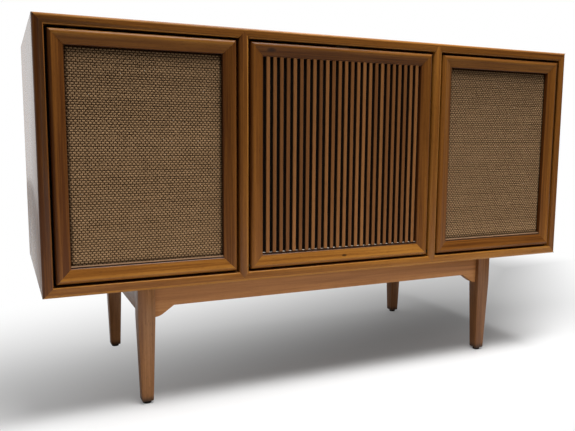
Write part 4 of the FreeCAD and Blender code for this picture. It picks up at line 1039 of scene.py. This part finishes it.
def weave_pattern(material):
    """A plain weave stretched over a board: it rolls back round the edges into its lap."""
    pattern = Pattern("weave")
    *counts, seed = pattern.sizes("Warps", "Wefts", "Seed", kind="Int")
    pitches = pattern.sizes("Warp pitch", "Weft pitch")
    start, low, high = pattern.sizes("Start", "Low", "High", kind="Vector")
    sizes = {"counts": counts, "pitches": pitches, "start": start, "seed": seed}
    low = low.axes()
    high = high.axes()
    both = [yarns(pattern, sizes, warp) for warp in (False, True)]
    joined = pattern.geometry("JoinGeometry", {0: both[0]})
    pattern.tree.links.new(both[1].socket, joined.socket.node.inputs[0])
    x, _, z = pattern.position().axes()
    inside = (x - low[0]).least(high[0] - x).least((z - low[2]).least(high[2] - z))
    fall = 1.0 - inside.eased(CLOTH_LAP, CLOTH_LAP + CLOTH_ROLL)
    joined = pattern.store(joined, "fall", fall)
    joined = pattern.move(joined, pattern.gather(0.0, fall * (high[1] - low[1] - CLOTH_BACK), 0.0))
    joined = pattern.smooth(joined)
    pattern.deliver(joined, material)
    return pattern


def grille_cloth(side, pattern, seed):
    node = side + "_grille_cloth"
    low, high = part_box(node)
    size = high - low
    warps = math.floor(size.x / WARP_PITCH)
    wefts = math.floor(size.z / WEFT_PITCH)
    first = Vector((
        low.x + (size.x - (warps - 1) * WARP_PITCH) / 2,
        low.y + YARN_THICKNESS,
        low.z + (size.z - (wefts - 1) * WEFT_PITCH) / 2,
    ))
    sizes = {
        "Warps": warps,
        "Wefts": wefts,
        "Warp pitch": WARP_PITCH,
        "Weft pitch": WEFT_PITCH,
        "Start": first,
        "Seed": seed,
        "Low": low,
        "High": high,
    }
    piece = grown(pattern, side + "_woven_cloth", sizes)
    settle(piece, "cabinet", [node])


def shade_sheet(side):
    """A thin black sheet behind the weave, painted shade that stands in for the dark inside the cabinet, so
    that nothing shows between the yarns.
    """
    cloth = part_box(side + "_grille_cloth")
    back = cloth[1].y - SHADE_SHEET_SPACE
    low, high = inset_box(cloth, CLOTH_LAP + CLOTH_ROLL, back - SHADE_SHEET_THICKNESS, back)
    black = finishes["lining_cloth"]
    piece = block_piece(side + "_shade_sheet", low, high, SHADE_SHEET_EASE, black, "cabinet", "grille_cloth")


shade_sheet("left")
shade_sheet("right")
weave = weave_pattern(finishes["grille_cloth"])
grille_cloth("left", weave, seed=11)
grille_cloth("right", weave, seed=41)


# Cabinet, legs and aprons

SOFT_ARRIS = {
    "top_panel": (0.4 * MM, walnut_top),
    "left_side_panel": (0.4 * MM, walnut_side),
    "right_side_panel": (0.4 * MM, walnut_side),
    "left_divider": (0.4 * MM, walnut_upright),
    "right_divider": (0.4 * MM, walnut_upright),
    "legs": (1.4 * MM, walnut_leg),
    "front_apron": (1.2 * MM, walnut_apron),
    "back_apron": (1.2 * MM, walnut_back_apron),
    "left_apron": (1.2 * MM, walnut_side_apron),
    "right_apron": (1.2 * MM, walnut_side_apron),
}
for wooden_node, (softness, timber) in SOFT_ARRIS.items():
    eased(wooden_node, softness, timber)

EDGING_ROUND = 3.6 * MM
EDGING_STEPS = 3
OUTER_SHARE = 0.5
SHARP_SHARE = 0.12


def edging_share(first, second):
    """The edging's long front edges are rounded, its mitres and other edges only eased."""
    middle = (first + second) / 2
    front = abs(middle.y - edging_low.y) < ARRIS
    if not front or (second - first).length < edging_half.z / 2:
        return SHARP_SHARE
    beside = abs(middle.x - edging_centre.x) > edging_half.x - ARRIS
    above = abs(middle.z - edging_centre.z) > edging_half.z - ARRIS
    return OUTER_SHARE if beside or above else 1.0


face_edging = eased("face_edging", EDGING_ROUND, walnut_face, EDGING_STEPS, edging_share)
divider_edging = eased(
    "divider_edging", EDGING_ROUND, walnut_divider, EDGING_STEPS, edging_share,
)

# The tone of each board of the edging, and how much lighter its rounded edges are painted, as a painted
# highlight
EDGING_TONES = {
    "bottom": (0.54, 0.20),
    "top": (0.45, 0.14),
    "left": (0.39, 0.03),
    "right": (0.46, 0.0),
    "left_divider": (0.455, 0.17),
    "right_divider": (0.55, 0.20),
}
# How far a rounded edge's faces lean from the front to get the painted highlight
ARRIS_LEAN = (0.15, 0.98)


def edging_board(place):
    """The name of the face edging's board that a place is on."""
    beside = abs(place.x - edging_centre.x) - edging_half.x
    above = abs(place.z - edging_centre.z) - edging_half.z
    if beside > above:
        return "left" if place.x < edging_centre.x else "right"
    return "bottom" if place.z < edging_centre.z else "top"


def divider_board(place):
    """The name of the divider's edging that a place is on."""
    return "left_divider" if place.x < edging_centre.x else "right_divider"


def tone_boards(piece, board_at):
    """Give an edging's boards their tones, with a painted highlight on the rounded edges, save those that
    face left.
    """
    mesh = piece.data
    tones = mesh.attributes.new("tone", "FLOAT", "FACE")
    for face in mesh.polygons:
        plain, painted_highlight = EDGING_TONES[board_at(face.center)]
        highlit = ARRIS_LEAN[0] < -face.normal.y < ARRIS_LEAN[1] and face.normal.x > -ARRIS_LEAN[0]
        tones.data[face.index].value = plain + (painted_highlight if highlit else 0.0)


tone_boards(face_edging, edging_board)
tone_boards(divider_edging, divider_board)


# Inner board, metal and plastic pieces with eased edges

EASED_NODES = {
    "bottom_panel": (0.4 * MM, "inner_board"),
    "tuner_shelf": (0.4 * MM, "inner_board"),
    "changer_deck": (0.7 * MM, "painted_steel"),
    "deck_bearers": (0.6 * MM, "softwood"),
    "platter": (0.6 * MM, "platter_metal"),
    "latch_body": (0.5 * MM, "latch_plastic"),
    "cord_inlet": (0.5 * MM, "black_plastic"),
    "corner_blocks": (0.6 * MM, "softwood"),
}
for plain_node, (softness, finish_name) in EASED_NODES.items():
    eased(plain_node, softness, finishes[finish_name])


# Rings and rows of small bars

def ring_pattern(material):
    """Bars round a circle in the XY plane, each turned outwards."""
    pattern = Pattern("ring_of_bars")
    count, = pattern.sizes("Count", kind="Int")
    radius, start, sweep = pattern.sizes("Radius", "Start", "Sweep")
    bar_size, = pattern.sizes("Bar", kind="Vector")
    bar = pattern.geometry("MeshCube", {"Size": bar_size})
    angle = start + sweep * pattern.index() / count
    spots = pattern.geometry("MeshLine", {"Count": count})
    place = pattern.gather(angle.cosine() * radius, angle.sine() * radius, 0.0)
    spots = pattern.geometry("SetPosition", {"Geometry": spots, "Position": place})
    turned = {"Points": spots, "Instance": bar, "Rotation": pattern.gather(0.0, 0.0, angle)}
    bars = pattern.geometry("InstanceOnPoints", turned)
    pattern.deliver(pattern.realize(bars), material)
    return pattern


TICK_GROUP = 5.0
TICK_FLATNESS = 0.2


def row_pattern(material):
    """Upright bars along X, the first of each group longer."""
    pattern = Pattern("row_of_bars")
    count, = pattern.sizes("Count", kind="Int")
    pitch, thick, short, long = pattern.sizes("Pitch", "Thickness", "Short", "Long")
    tall = long - ((pattern.index() % TICK_GROUP) > 0.5) * (long - short)
    bar = pattern.geometry("MeshCube", {"Size": (1.0, 1.0, 1.0)})
    row = {"Count": count, "Offset": pattern.gather(pitch, 0.0, 0.0)}
    spots = pattern.geometry("MeshLine", row)
    spots = pattern.move(spots, pattern.gather(0.0, 0.0, tall / 2.0))
    sized = {"Points": spots, "Instance": bar, "Scale": pattern.gather(thick, thick * TICK_FLATNESS, tall)}
    bars = pattern.geometry("InstanceOnPoints", sized)
    pattern.deliver(pattern.realize(bars), material)
    return pattern


def placed_piece(name, pattern, sizes, matrix, body):
    """A piece that a pattern makes at the origin, brought to its place."""
    piece = grown(pattern, name, sizes)
    piece.data.transform(matrix)
    return settle(piece, body)


# Knobs and the tuner's dial

panel_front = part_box("tuner_front_panel")[0].y
KNOB_FLUTES = 40
KNOB_STEM = 3.0 * MM
KNOB_BODY = 0.82
SKIRT_GAP = 0.4 * MM
SKIRT_HEIGHT = 3.0 * MM
# The skirt's corners: how far inside its rim and how far in front of its back
SKIRT_CORNERS = ((0.4 * MM, 0.0), (0.0, 0.4 * MM), (0.0, 1.8 * MM), (0.6 * MM, 2.4 * MM))
# The body's corners: the share of its radius and how far behind the knob's front
BODY_CORNERS = ((0.97, 1.2 * MM), (0.92, 0.2 * MM), (0.86, 0.0))
DISH_CORNERS = ((0.80, 0.5 * MM), (0.40, 0.9 * MM), (0.0, 1.0 * MM))
FLUTE_START = 3.2 * MM
FLUTE_MARGIN = 5.0 * MM
FLUTE_SHARE = 0.985
FLUTE_BAR = (1.0 * MM, 0.9 * MM)
# The pointing line, which spans a share of the body's radius
LINE_SPAN = (0.30, 0.80)
LINE_HALF = 0.6 * MM
LINE_DEPTH = 0.8 * MM
LINE_SINK = 0.45 * MM
LINE_EASE = 0.1 * MM
ink = finishes["dial_ink"]
flute_ring = ring_pattern(finishes["knob_metal"])
ink_ring = ring_pattern(ink)


def turned_knob(node):
    """A knob with a skirt, a fluted body, a dished cap and a pointing line."""
    low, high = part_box(node)
    reach = (high.x - low.x) / 2
    length = high.y - low.y
    back = middle_of((low, high), y=high.y)
    skirt = high.y - panel_front + SKIRT_GAP
    body_radius = reach * KNOB_BODY
    profile = [(0.0, 0.0), (KNOB_STEM, 0.0), (KNOB_STEM, skirt)]
    profile += [(reach - inset, skirt + rise) for inset, rise in SKIRT_CORNERS]
    profile.append((body_radius, skirt + SKIRT_HEIGHT))
    profile += [(body_radius * share, length - drop) for share, drop in BODY_CORNERS + DISH_CORNERS]
    body = body_of[node]
    metal = finishes["knob_metal"]
    mesh = lathe(node + "_turned", profile, back, FRONTWARD, metal)
    settle_mesh(mesh, body, [node])
    flute_length = length - skirt - FLUTE_MARGIN
    sizes = {
        "Count": KNOB_FLUTES,
        "Radius": body_radius * FLUTE_SHARE,
        "Sweep": FULL_TURN,
        "Bar": Vector((*FLUTE_BAR, flute_length)),
    }
    middle = back + Vector(FRONTWARD) * (skirt + FLUTE_START + flute_length / 2)
    placed_piece(node + "_flutes", flute_ring, sizes, facing(middle, FRONTWARD), body)
    face = back.y - length + LINE_SINK
    line_foot, line_top = (back.z + body_radius * share for share in LINE_SPAN)
    line_low = Vector((back.x - LINE_HALF, face, line_foot))
    line_high = Vector((back.x + LINE_HALF, face + LINE_DEPTH, line_top))
    block_piece(node + "_line", line_low, line_high, LINE_EASE, ink, body, "black_plastic")


for knob in ("selector_knob", "tuning_knob", "volume_knob", "tone_knob"):
    turned_knob(knob)


MARK_BAR = (2.2 * MM, 0.7 * MM, 0.12 * MM)
MARK_SPACE = 3.6 * MM
MARK_RISE = 0.03 * MM


def printed_marks(node, count, start, sweep):
    """Marks printed on the tuner's panel round a knob."""
    low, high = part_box(node)
    spot = middle_of((low, high), y=panel_front - MARK_RISE)
    sizes = {
        "Count": count,
        "Radius": (high.x - low.x) / 2 + MARK_SPACE,
        "Start": math.radians(start),
        "Sweep": math.radians(sweep),
        "Bar": Vector(MARK_BAR),
    }
    placed_piece(node + "_marks", ink_ring, sizes, facing(spot, FRONTWARD), "cabinet")


printed_marks("volume_knob", count=11, start=-60.0, sweep=330.0)
printed_marks("tone_knob", count=11, start=-60.0, sweep=330.0)
printed_marks("selector_knob", count=5, start=30.0, sweep=150.0)

DIAL_HALF = 91.0 * MM
DIAL_TICKS = 51
UPPER_NUMBERS = ["88", "92", "96", "100", "104", "108"]
LOWER_NUMBERS = ["55", "60", "70", "80", "100", "120", "140", "160"]
NUMBER_HEIGHT = 5.0 * MM
FIGURE_SHARE = 0.7
NUMBER_SPACE = 5.5 * MM
SCALE_SPACE = 2.5 * MM
TICK_SIZES = {"Thickness": 0.35 * MM, "Short": 2.2 * MM, "Long": 4.2 * MM}
PLATE_MARGIN = 3 * MM
PLATE_FRONT = 0.12 * MM
PLATE_BACK = 0.02 * MM
PLATE_EASE = 0.02 * MM
PRINT_RISE = 0.05 * MM


def number_mesh(words):
    """Flat figures that face the front."""
    font = bpy.data.curves.new("figures", "FONT")
    font.body = words
    font.size = NUMBER_HEIGHT
    font.align_x = "CENTER"
    holder = add_object("figures", font)
    mesh = final_mesh(holder)
    bpy.data.objects.remove(holder)
    mesh.transform(Matrix.Rotation(math.pi / 2, 4, "X"))
    return mesh


def tuner_dial():
    """A cream dial plate behind the glass, with two scales and their numbers."""
    low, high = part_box("dial_glass")
    middle = (low.z + high.z) / 2
    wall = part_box("tuner_chassis")[0].y
    face = wall - PLATE_FRONT
    plate = inset_box((low, high), PLATE_MARGIN, face, wall - PLATE_BACK)
    block_piece("dial_plate", *plate, PLATE_EASE, finishes["dial_cream"], "cabinet", "painted_steel")
    printed = face - PRINT_RISE
    pitch = 2 * DIAL_HALF / (DIAL_TICKS - 1)
    sizes = {"Count": DIAL_TICKS, "Pitch": pitch, **TICK_SIZES}
    ticks = row_pattern(ink)
    bm = bmesh.new()
    rows = [
        ("dial_upper_scale", UPPER_NUMBERS, 1.0, NUMBER_SPACE),
        ("dial_lower_scale", LOWER_NUMBERS, -1.0, -NUMBER_SPACE - NUMBER_HEIGHT * FIGURE_SHARE),
    ]
    for name, numbers, way, aside in rows:
        level = middle + SCALE_SPACE * way
        upright = Matrix.Diagonal((1.0, 1.0, way, 1.0))
        place = Matrix.Translation((-DIAL_HALF, printed, level))
        piece = placed_piece(name, ticks, sizes, place @ upright, "cabinet")
        if way < 0:
            piece.data.flip_normals()
        for number, words in enumerate(numbers):
            mesh = number_mesh(words)
            x = DIAL_HALF * (2 * number / (len(numbers) - 1) - 1)
            mesh.transform(Matrix.Translation((x, printed, level + aside)))
            bm.from_mesh(mesh)
            bpy.data.meshes.remove(mesh)
    settle_mesh(mesh_of(bm, "dial_numbers", ink), "cabinet")


tuner_dial()

BEZEL_WIDTH = 4.0 * MM
BEZEL_RISE = 1.6 * MM
BEZEL_STEPS = 8
TRIM_MARGIN = 2.0 * MM


def panel_trim(name, node, margin, material):
    """A raised half-round frame on the tuner's front panel, inside a node's outline by a margin."""
    round_top = []
    for step in range(BEZEL_STEPS + 1):
        angle = math.pi * step / BEZEL_STEPS
        height = BEZEL_RISE * math.sin(angle)
        round_top.append((BEZEL_RISE - height, BEZEL_WIDTH * (1 - math.cos(angle)) / 2))
    corners = inset_box(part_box(node), margin, panel_front - BEZEL_RISE, panel_front)
    mesh = mitred_frame(name, round_top, *corners, 0.0, material, PLAIN_TONES)
    settle_mesh(mesh, "cabinet")


panel_trim("dial_bezel", "dial_glass", 0.0, finishes["black_plastic"])
panel_trim("panel_edge_trim", "tuner_front_panel", TRIM_MARGIN, finishes["brass"])


# Record player

MAT_RIDGE = 4.0 * MM
MAT_GROOVE = 0.7 * MM
MAT_HOLE = 4.0 * MM
MAT_RIM = 0.6 * MM
MAT_LABEL = 0.38
MAT_STEPS = 96
HOLE_EASE = 0.5 * MM


def ribbed_mat():
    """The platter's mat with round ridges, turned on the platter's axis."""
    low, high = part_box("platter_mat")
    outer = (high.x - low.x) / 2
    thick = high.z - low.z
    profile = [(MAT_HOLE, 0.0), (outer, 0.0), (outer, thick - MAT_RIM), (outer - MAT_RIM, thick)]
    radius = outer - MAT_RIDGE
    while radius > outer * MAT_LABEL:
        profile.append((radius + MAT_RIDGE / 4, thick))
        profile.append((radius, thick - MAT_GROOVE))
        profile.append((radius - MAT_RIDGE / 4, thick))
        radius -= MAT_RIDGE
    profile += [(MAT_HOLE + HOLE_EASE, thick), (MAT_HOLE, thick - HOLE_EASE), (MAT_HOLE, 0.0)]
    spot = middle_of((low, high), z=low.z)
    mesh = lathe("ribbed_mat", profile, spot, UPWARD, finishes["rubber"], MAT_STEPS)
    settle_mesh(mesh, "turntable", ["platter_mat"])


ribbed_mat()

DOT_COUNT = 150
DOT_BAR = (0.5 * MM, 2.6 * MM, 3.0 * MM)
DOT_DROP = 4.0 * MM


def platter_dots():
    """Bright bars round the platter's rim, as for reading its speed."""
    low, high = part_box("platter")
    sizes = {
        "Count": DOT_COUNT,
        "Radius": (high.x - low.x) / 2,
        "Sweep": FULL_TURN,
        "Bar": Vector(DOT_BAR),
    }
    spot = middle_of((low, high), z=high.z - DOT_DROP)
    bright = ring_pattern(finishes["steel"])
    placed_piece("platter_dots", bright, sizes, Matrix.Translation(spot), "turntable")


platter_dots()


# Screw heads

HEAD_FLATNESS = 0.45
HEAD_SEGMENTS = {"Segments": 20, "Rings": 10}
# The slot's length, depth, width and rise against the head's radius
SLOT_SHARES = (2.4, 0.5, 0.26)
SLOT_RISE = 0.5
SCREW_SEED = 3


def screw_pattern(material):
    """Round heads with a slot, one at each given point, facing the back."""
    pattern = Pattern("screw_heads")
    radius, = pattern.sizes("Radius")
    seed, = pattern.sizes("Seed", kind="Int")
    ball = pattern.geometry("MeshUVSphere", {**HEAD_SEGMENTS, "Radius": radius})
    flat = {"Geometry": ball, "Scale": (1.0, HEAD_FLATNESS, 1.0)}
    dome = pattern.geometry("Transform", flat)
    slot = pattern.gather(*(radius * share for share in SLOT_SHARES))
    cutter = pattern.geometry("MeshCube", {"Size": slot})
    raised = {"Geometry": cutter, "Translation": pattern.gather(0.0, radius * SLOT_RISE, 0.0)}
    cutter = pattern.geometry("Transform", raised)
    cut = {"Mesh 1": dome, "Mesh 2": cutter}
    head = pattern.geometry("MeshBoolean", cut, operation="DIFFERENCE")
    angle = pattern.chance(0.0, math.pi, pattern.index(), seed)
    spread = {"Points": pattern.given(), "Instance": head, "Rotation": pattern.gather(0.0, angle, 0.0)}
    heads = pattern.geometry("InstanceOnPoints", spread)
    pattern.deliver(pattern.realize(heads), material)
    return pattern


def screw_heads():
    screws = solids("wood_screws")
    low, high = screws[0]
    radius = (high.x - low.x) / 2
    points = []
    for corners in screws:
        points.append(middle_of(corners, y=corners[1].y - radius * HEAD_FLATNESS))
    sizes = {"Radius": radius, "Seed": SCREW_SEED}
    piece = grown(screw_pattern(finishes["steel"]), "screw_heads", sizes, points)
    settle(piece, "cabinet", ["wood_screws"])


screw_heads()


# Stage and camera

PHOTO_WIDTH = 575
FOCAL_PIXELS = 640.7
CAMERA_SPOT = (-0.6377, -1.3630, 0.5086)
CAMERA_YAW = 0.4236
CAMERA_PITCH = 0.1242
CAMERA_ROLL = 0.0064
SENSOR = 36.0


def photo_camera():
    """A camera where the photograph was taken from."""
    level = math.cos(CAMERA_PITCH)
    ahead = Vector((math.sin(CAMERA_YAW) * level, math.cos(CAMERA_YAW) * level, -math.sin(CAMERA_PITCH)))
    right = Vector((math.cos(CAMERA_YAW), -math.sin(CAMERA_YAW), 0.0))
    up = right.cross(ahead)
    side = right * math.cos(CAMERA_ROLL) + up * math.sin(CAMERA_ROLL)
    above = side.cross(ahead)
    lens = bpy.data.cameras.new("camera")
    lens.sensor_width = SENSOR
    lens.lens = SENSOR * FOCAL_PIXELS / PHOTO_WIDTH
    camera = add_object("camera", lens)
    turn = Matrix((side, above, -ahead)).transposed().to_4x4()
    camera.matrix_world = Matrix.Translation(CAMERA_SPOT) @ turn
    bpy.context.scene.camera = camera


def area_lamp(name, spot, aim, size, power, glossy=True):
    """A soft rectangular lamp."""
    lamp = bpy.data.lights.new(name, "AREA")
    lamp.shape = "RECTANGLE"
    lamp.size, lamp.size_y = size
    lamp.energy = power
    held = add_object(name, lamp)
    held.location = spot
    held.rotation_euler = (Vector(aim) - Vector(spot)).to_track_quat("-Z", "Y").to_euler()
    held.visible_camera = False
    held.visible_glossy = glossy


AMBIENT_FRONT = 0.14
AMBIENT_BACK = 0.75
FRONT_GLOSS = 0.06
AMBIENT_SPAN = (-0.3, 0.6)
GLOSS_SPAN = (-0.55, 0.15)


def studio_world():
    """White for the camera, a soft grey light, and a dark room in front for reflections."""
    world = bpy.data.worlds.new("studio")
    bpy.context.scene.world = world
    world.use_nodes = True
    tree = Tree(world.node_tree)
    background = world.node_tree.nodes["Background"]
    path = tree.node("ShaderNodeLightPath").socket.node
    seen = Wire(tree, path.outputs["Is Camera Ray"]).most(Wire(tree, path.outputs["Is Transmission Ray"]))
    glossy = Wire(tree, path.outputs["Is Glossy Ray"])
    _, depth, _ = tree.node("ShaderNodeTexCoord", out="Generated").axes()
    mirrored = FRONT_GLOSS + depth.eased(*GLOSS_SPAN) * (1.0 - FRONT_GLOSS)
    ambient = AMBIENT_FRONT + depth.eased(*AMBIENT_SPAN) * (AMBIENT_BACK - AMBIENT_FRONT)
    unseen = glossy * mirrored + (1.0 - glossy) * ambient
    tree.join((1.0, 1.0, 1.0, 1.0), background.inputs["Color"])
    tree.join(seen + (1.0 - seen) * unseen, background.inputs["Strength"])


FLOOR_HALF = 6.0
FLOOR_SEEN = 0.88
PAINTED_FLOOR_SHADOW = 0.34
FLOOR_BOUNCE = 0.12
PAINTED_SHADOW_SPAN = (-0.34, 0.10)
SHADE_SPOT = (0.30, -0.14)
SHADE_TURN = math.radians(21.0)
SHADE_SLANT = 0.85
SHADE_BACK = (0.05, 1.10)
SHADE_END = (0.55, 1.15)
SHADE_FRONT = (0.34, 0.60)
SHADE_REACH = (1.10, 1.70)
SHADE_VEIL = 0.06


def studio_floor():
    """A pale floor that keeps the shadow near the console, painted darker under and behind it as painted
    shadow, and fades to white away from it.
    """
    bm = bmesh.new()
    bmesh.ops.create_grid(bm, x_segments=1, y_segments=1, size=FLOOR_HALF)
    finish = Finish("floor", {"Roughness": 0.9, "Specular IOR Level": 0.1})
    x, y, _ = finish.place().axes()
    behind_band = (y - SHADE_SPOT[1]) * math.cos(SHADE_TURN) - (x - SHADE_SPOT[0]) * math.sin(SHADE_TURN)
    past_end = x - y * SHADE_SLANT
    far = (x * x + y * y) ** 0.5
    clear = behind_band.eased(*SHADE_BACK).most(past_end.eased(*SHADE_END))
    clear = clear.most(far.eased(*SHADE_REACH)).most((-y).eased(*SHADE_FRONT))
    camera = finish.node("ShaderNodeLightPath", out="Is Camera Ray")
    bounced = finish.node("ShaderNodeLightPath", out="Is Diffuse Ray")
    # Painted shadow: for the camera the floor is painted darker under and behind the console
    behind = y.eased(*PAINTED_SHADOW_SPAN)
    seen = FLOOR_SEEN - behind * camera * (FLOOR_SEEN - PAINTED_FLOOR_SHADOW)
    pale = seen - bounced * (FLOOR_SEEN - FLOOR_BOUNCE)
    finish.set({"Base Color": finish.gather(pale, pale, pale)})
    white = finish.node("ShaderNodeEmission", {}, {"Color": (1.0, 1.0, 1.0, 1.0), "Strength": 1.0})
    lit = Wire(finish, finish.shader.outputs[0])
    share = (SHADE_VEIL + clear * (1.0 - SHADE_VEIL)) * camera
    mixed = finish.node("ShaderNodeMixShader", {}, {0: share, 1: lit, 2: white})
    through = finish.node("ShaderNodeBsdfTransparent")
    below = finish.node("ShaderNodeNewGeometry", out="Backfacing") * camera
    whole = finish.node("ShaderNodeMixShader", {}, {0: below, 1: mixed, 2: through})
    finish.join(whole, finish.tree.nodes["Material Output"].inputs["Surface"])
    floor = add_object("floor", mesh_of(bm, "floor", finish.material))


photo_camera()
studio_world()
studio_floor()
area_lamp("overhead", (0.15, 0.15, 2.30), aim=(0.10, 0.10, 0.0), size=(1.5, 0.7), power=12.0)
area_lamp("front_top", (0.25, -0.68, 2.30), aim=(0.10, -0.30, 0.0), size=(1.6, 0.5), power=60.0)
area_lamp(
    "floor_bounce", (0.0, -0.52, 0.02), aim=(0.0, -0.25, 0.26), size=(2.2, 0.25), power=5.2, glossy=False,
)
bpy.context.scene.view_settings.view_transform = "Standard"
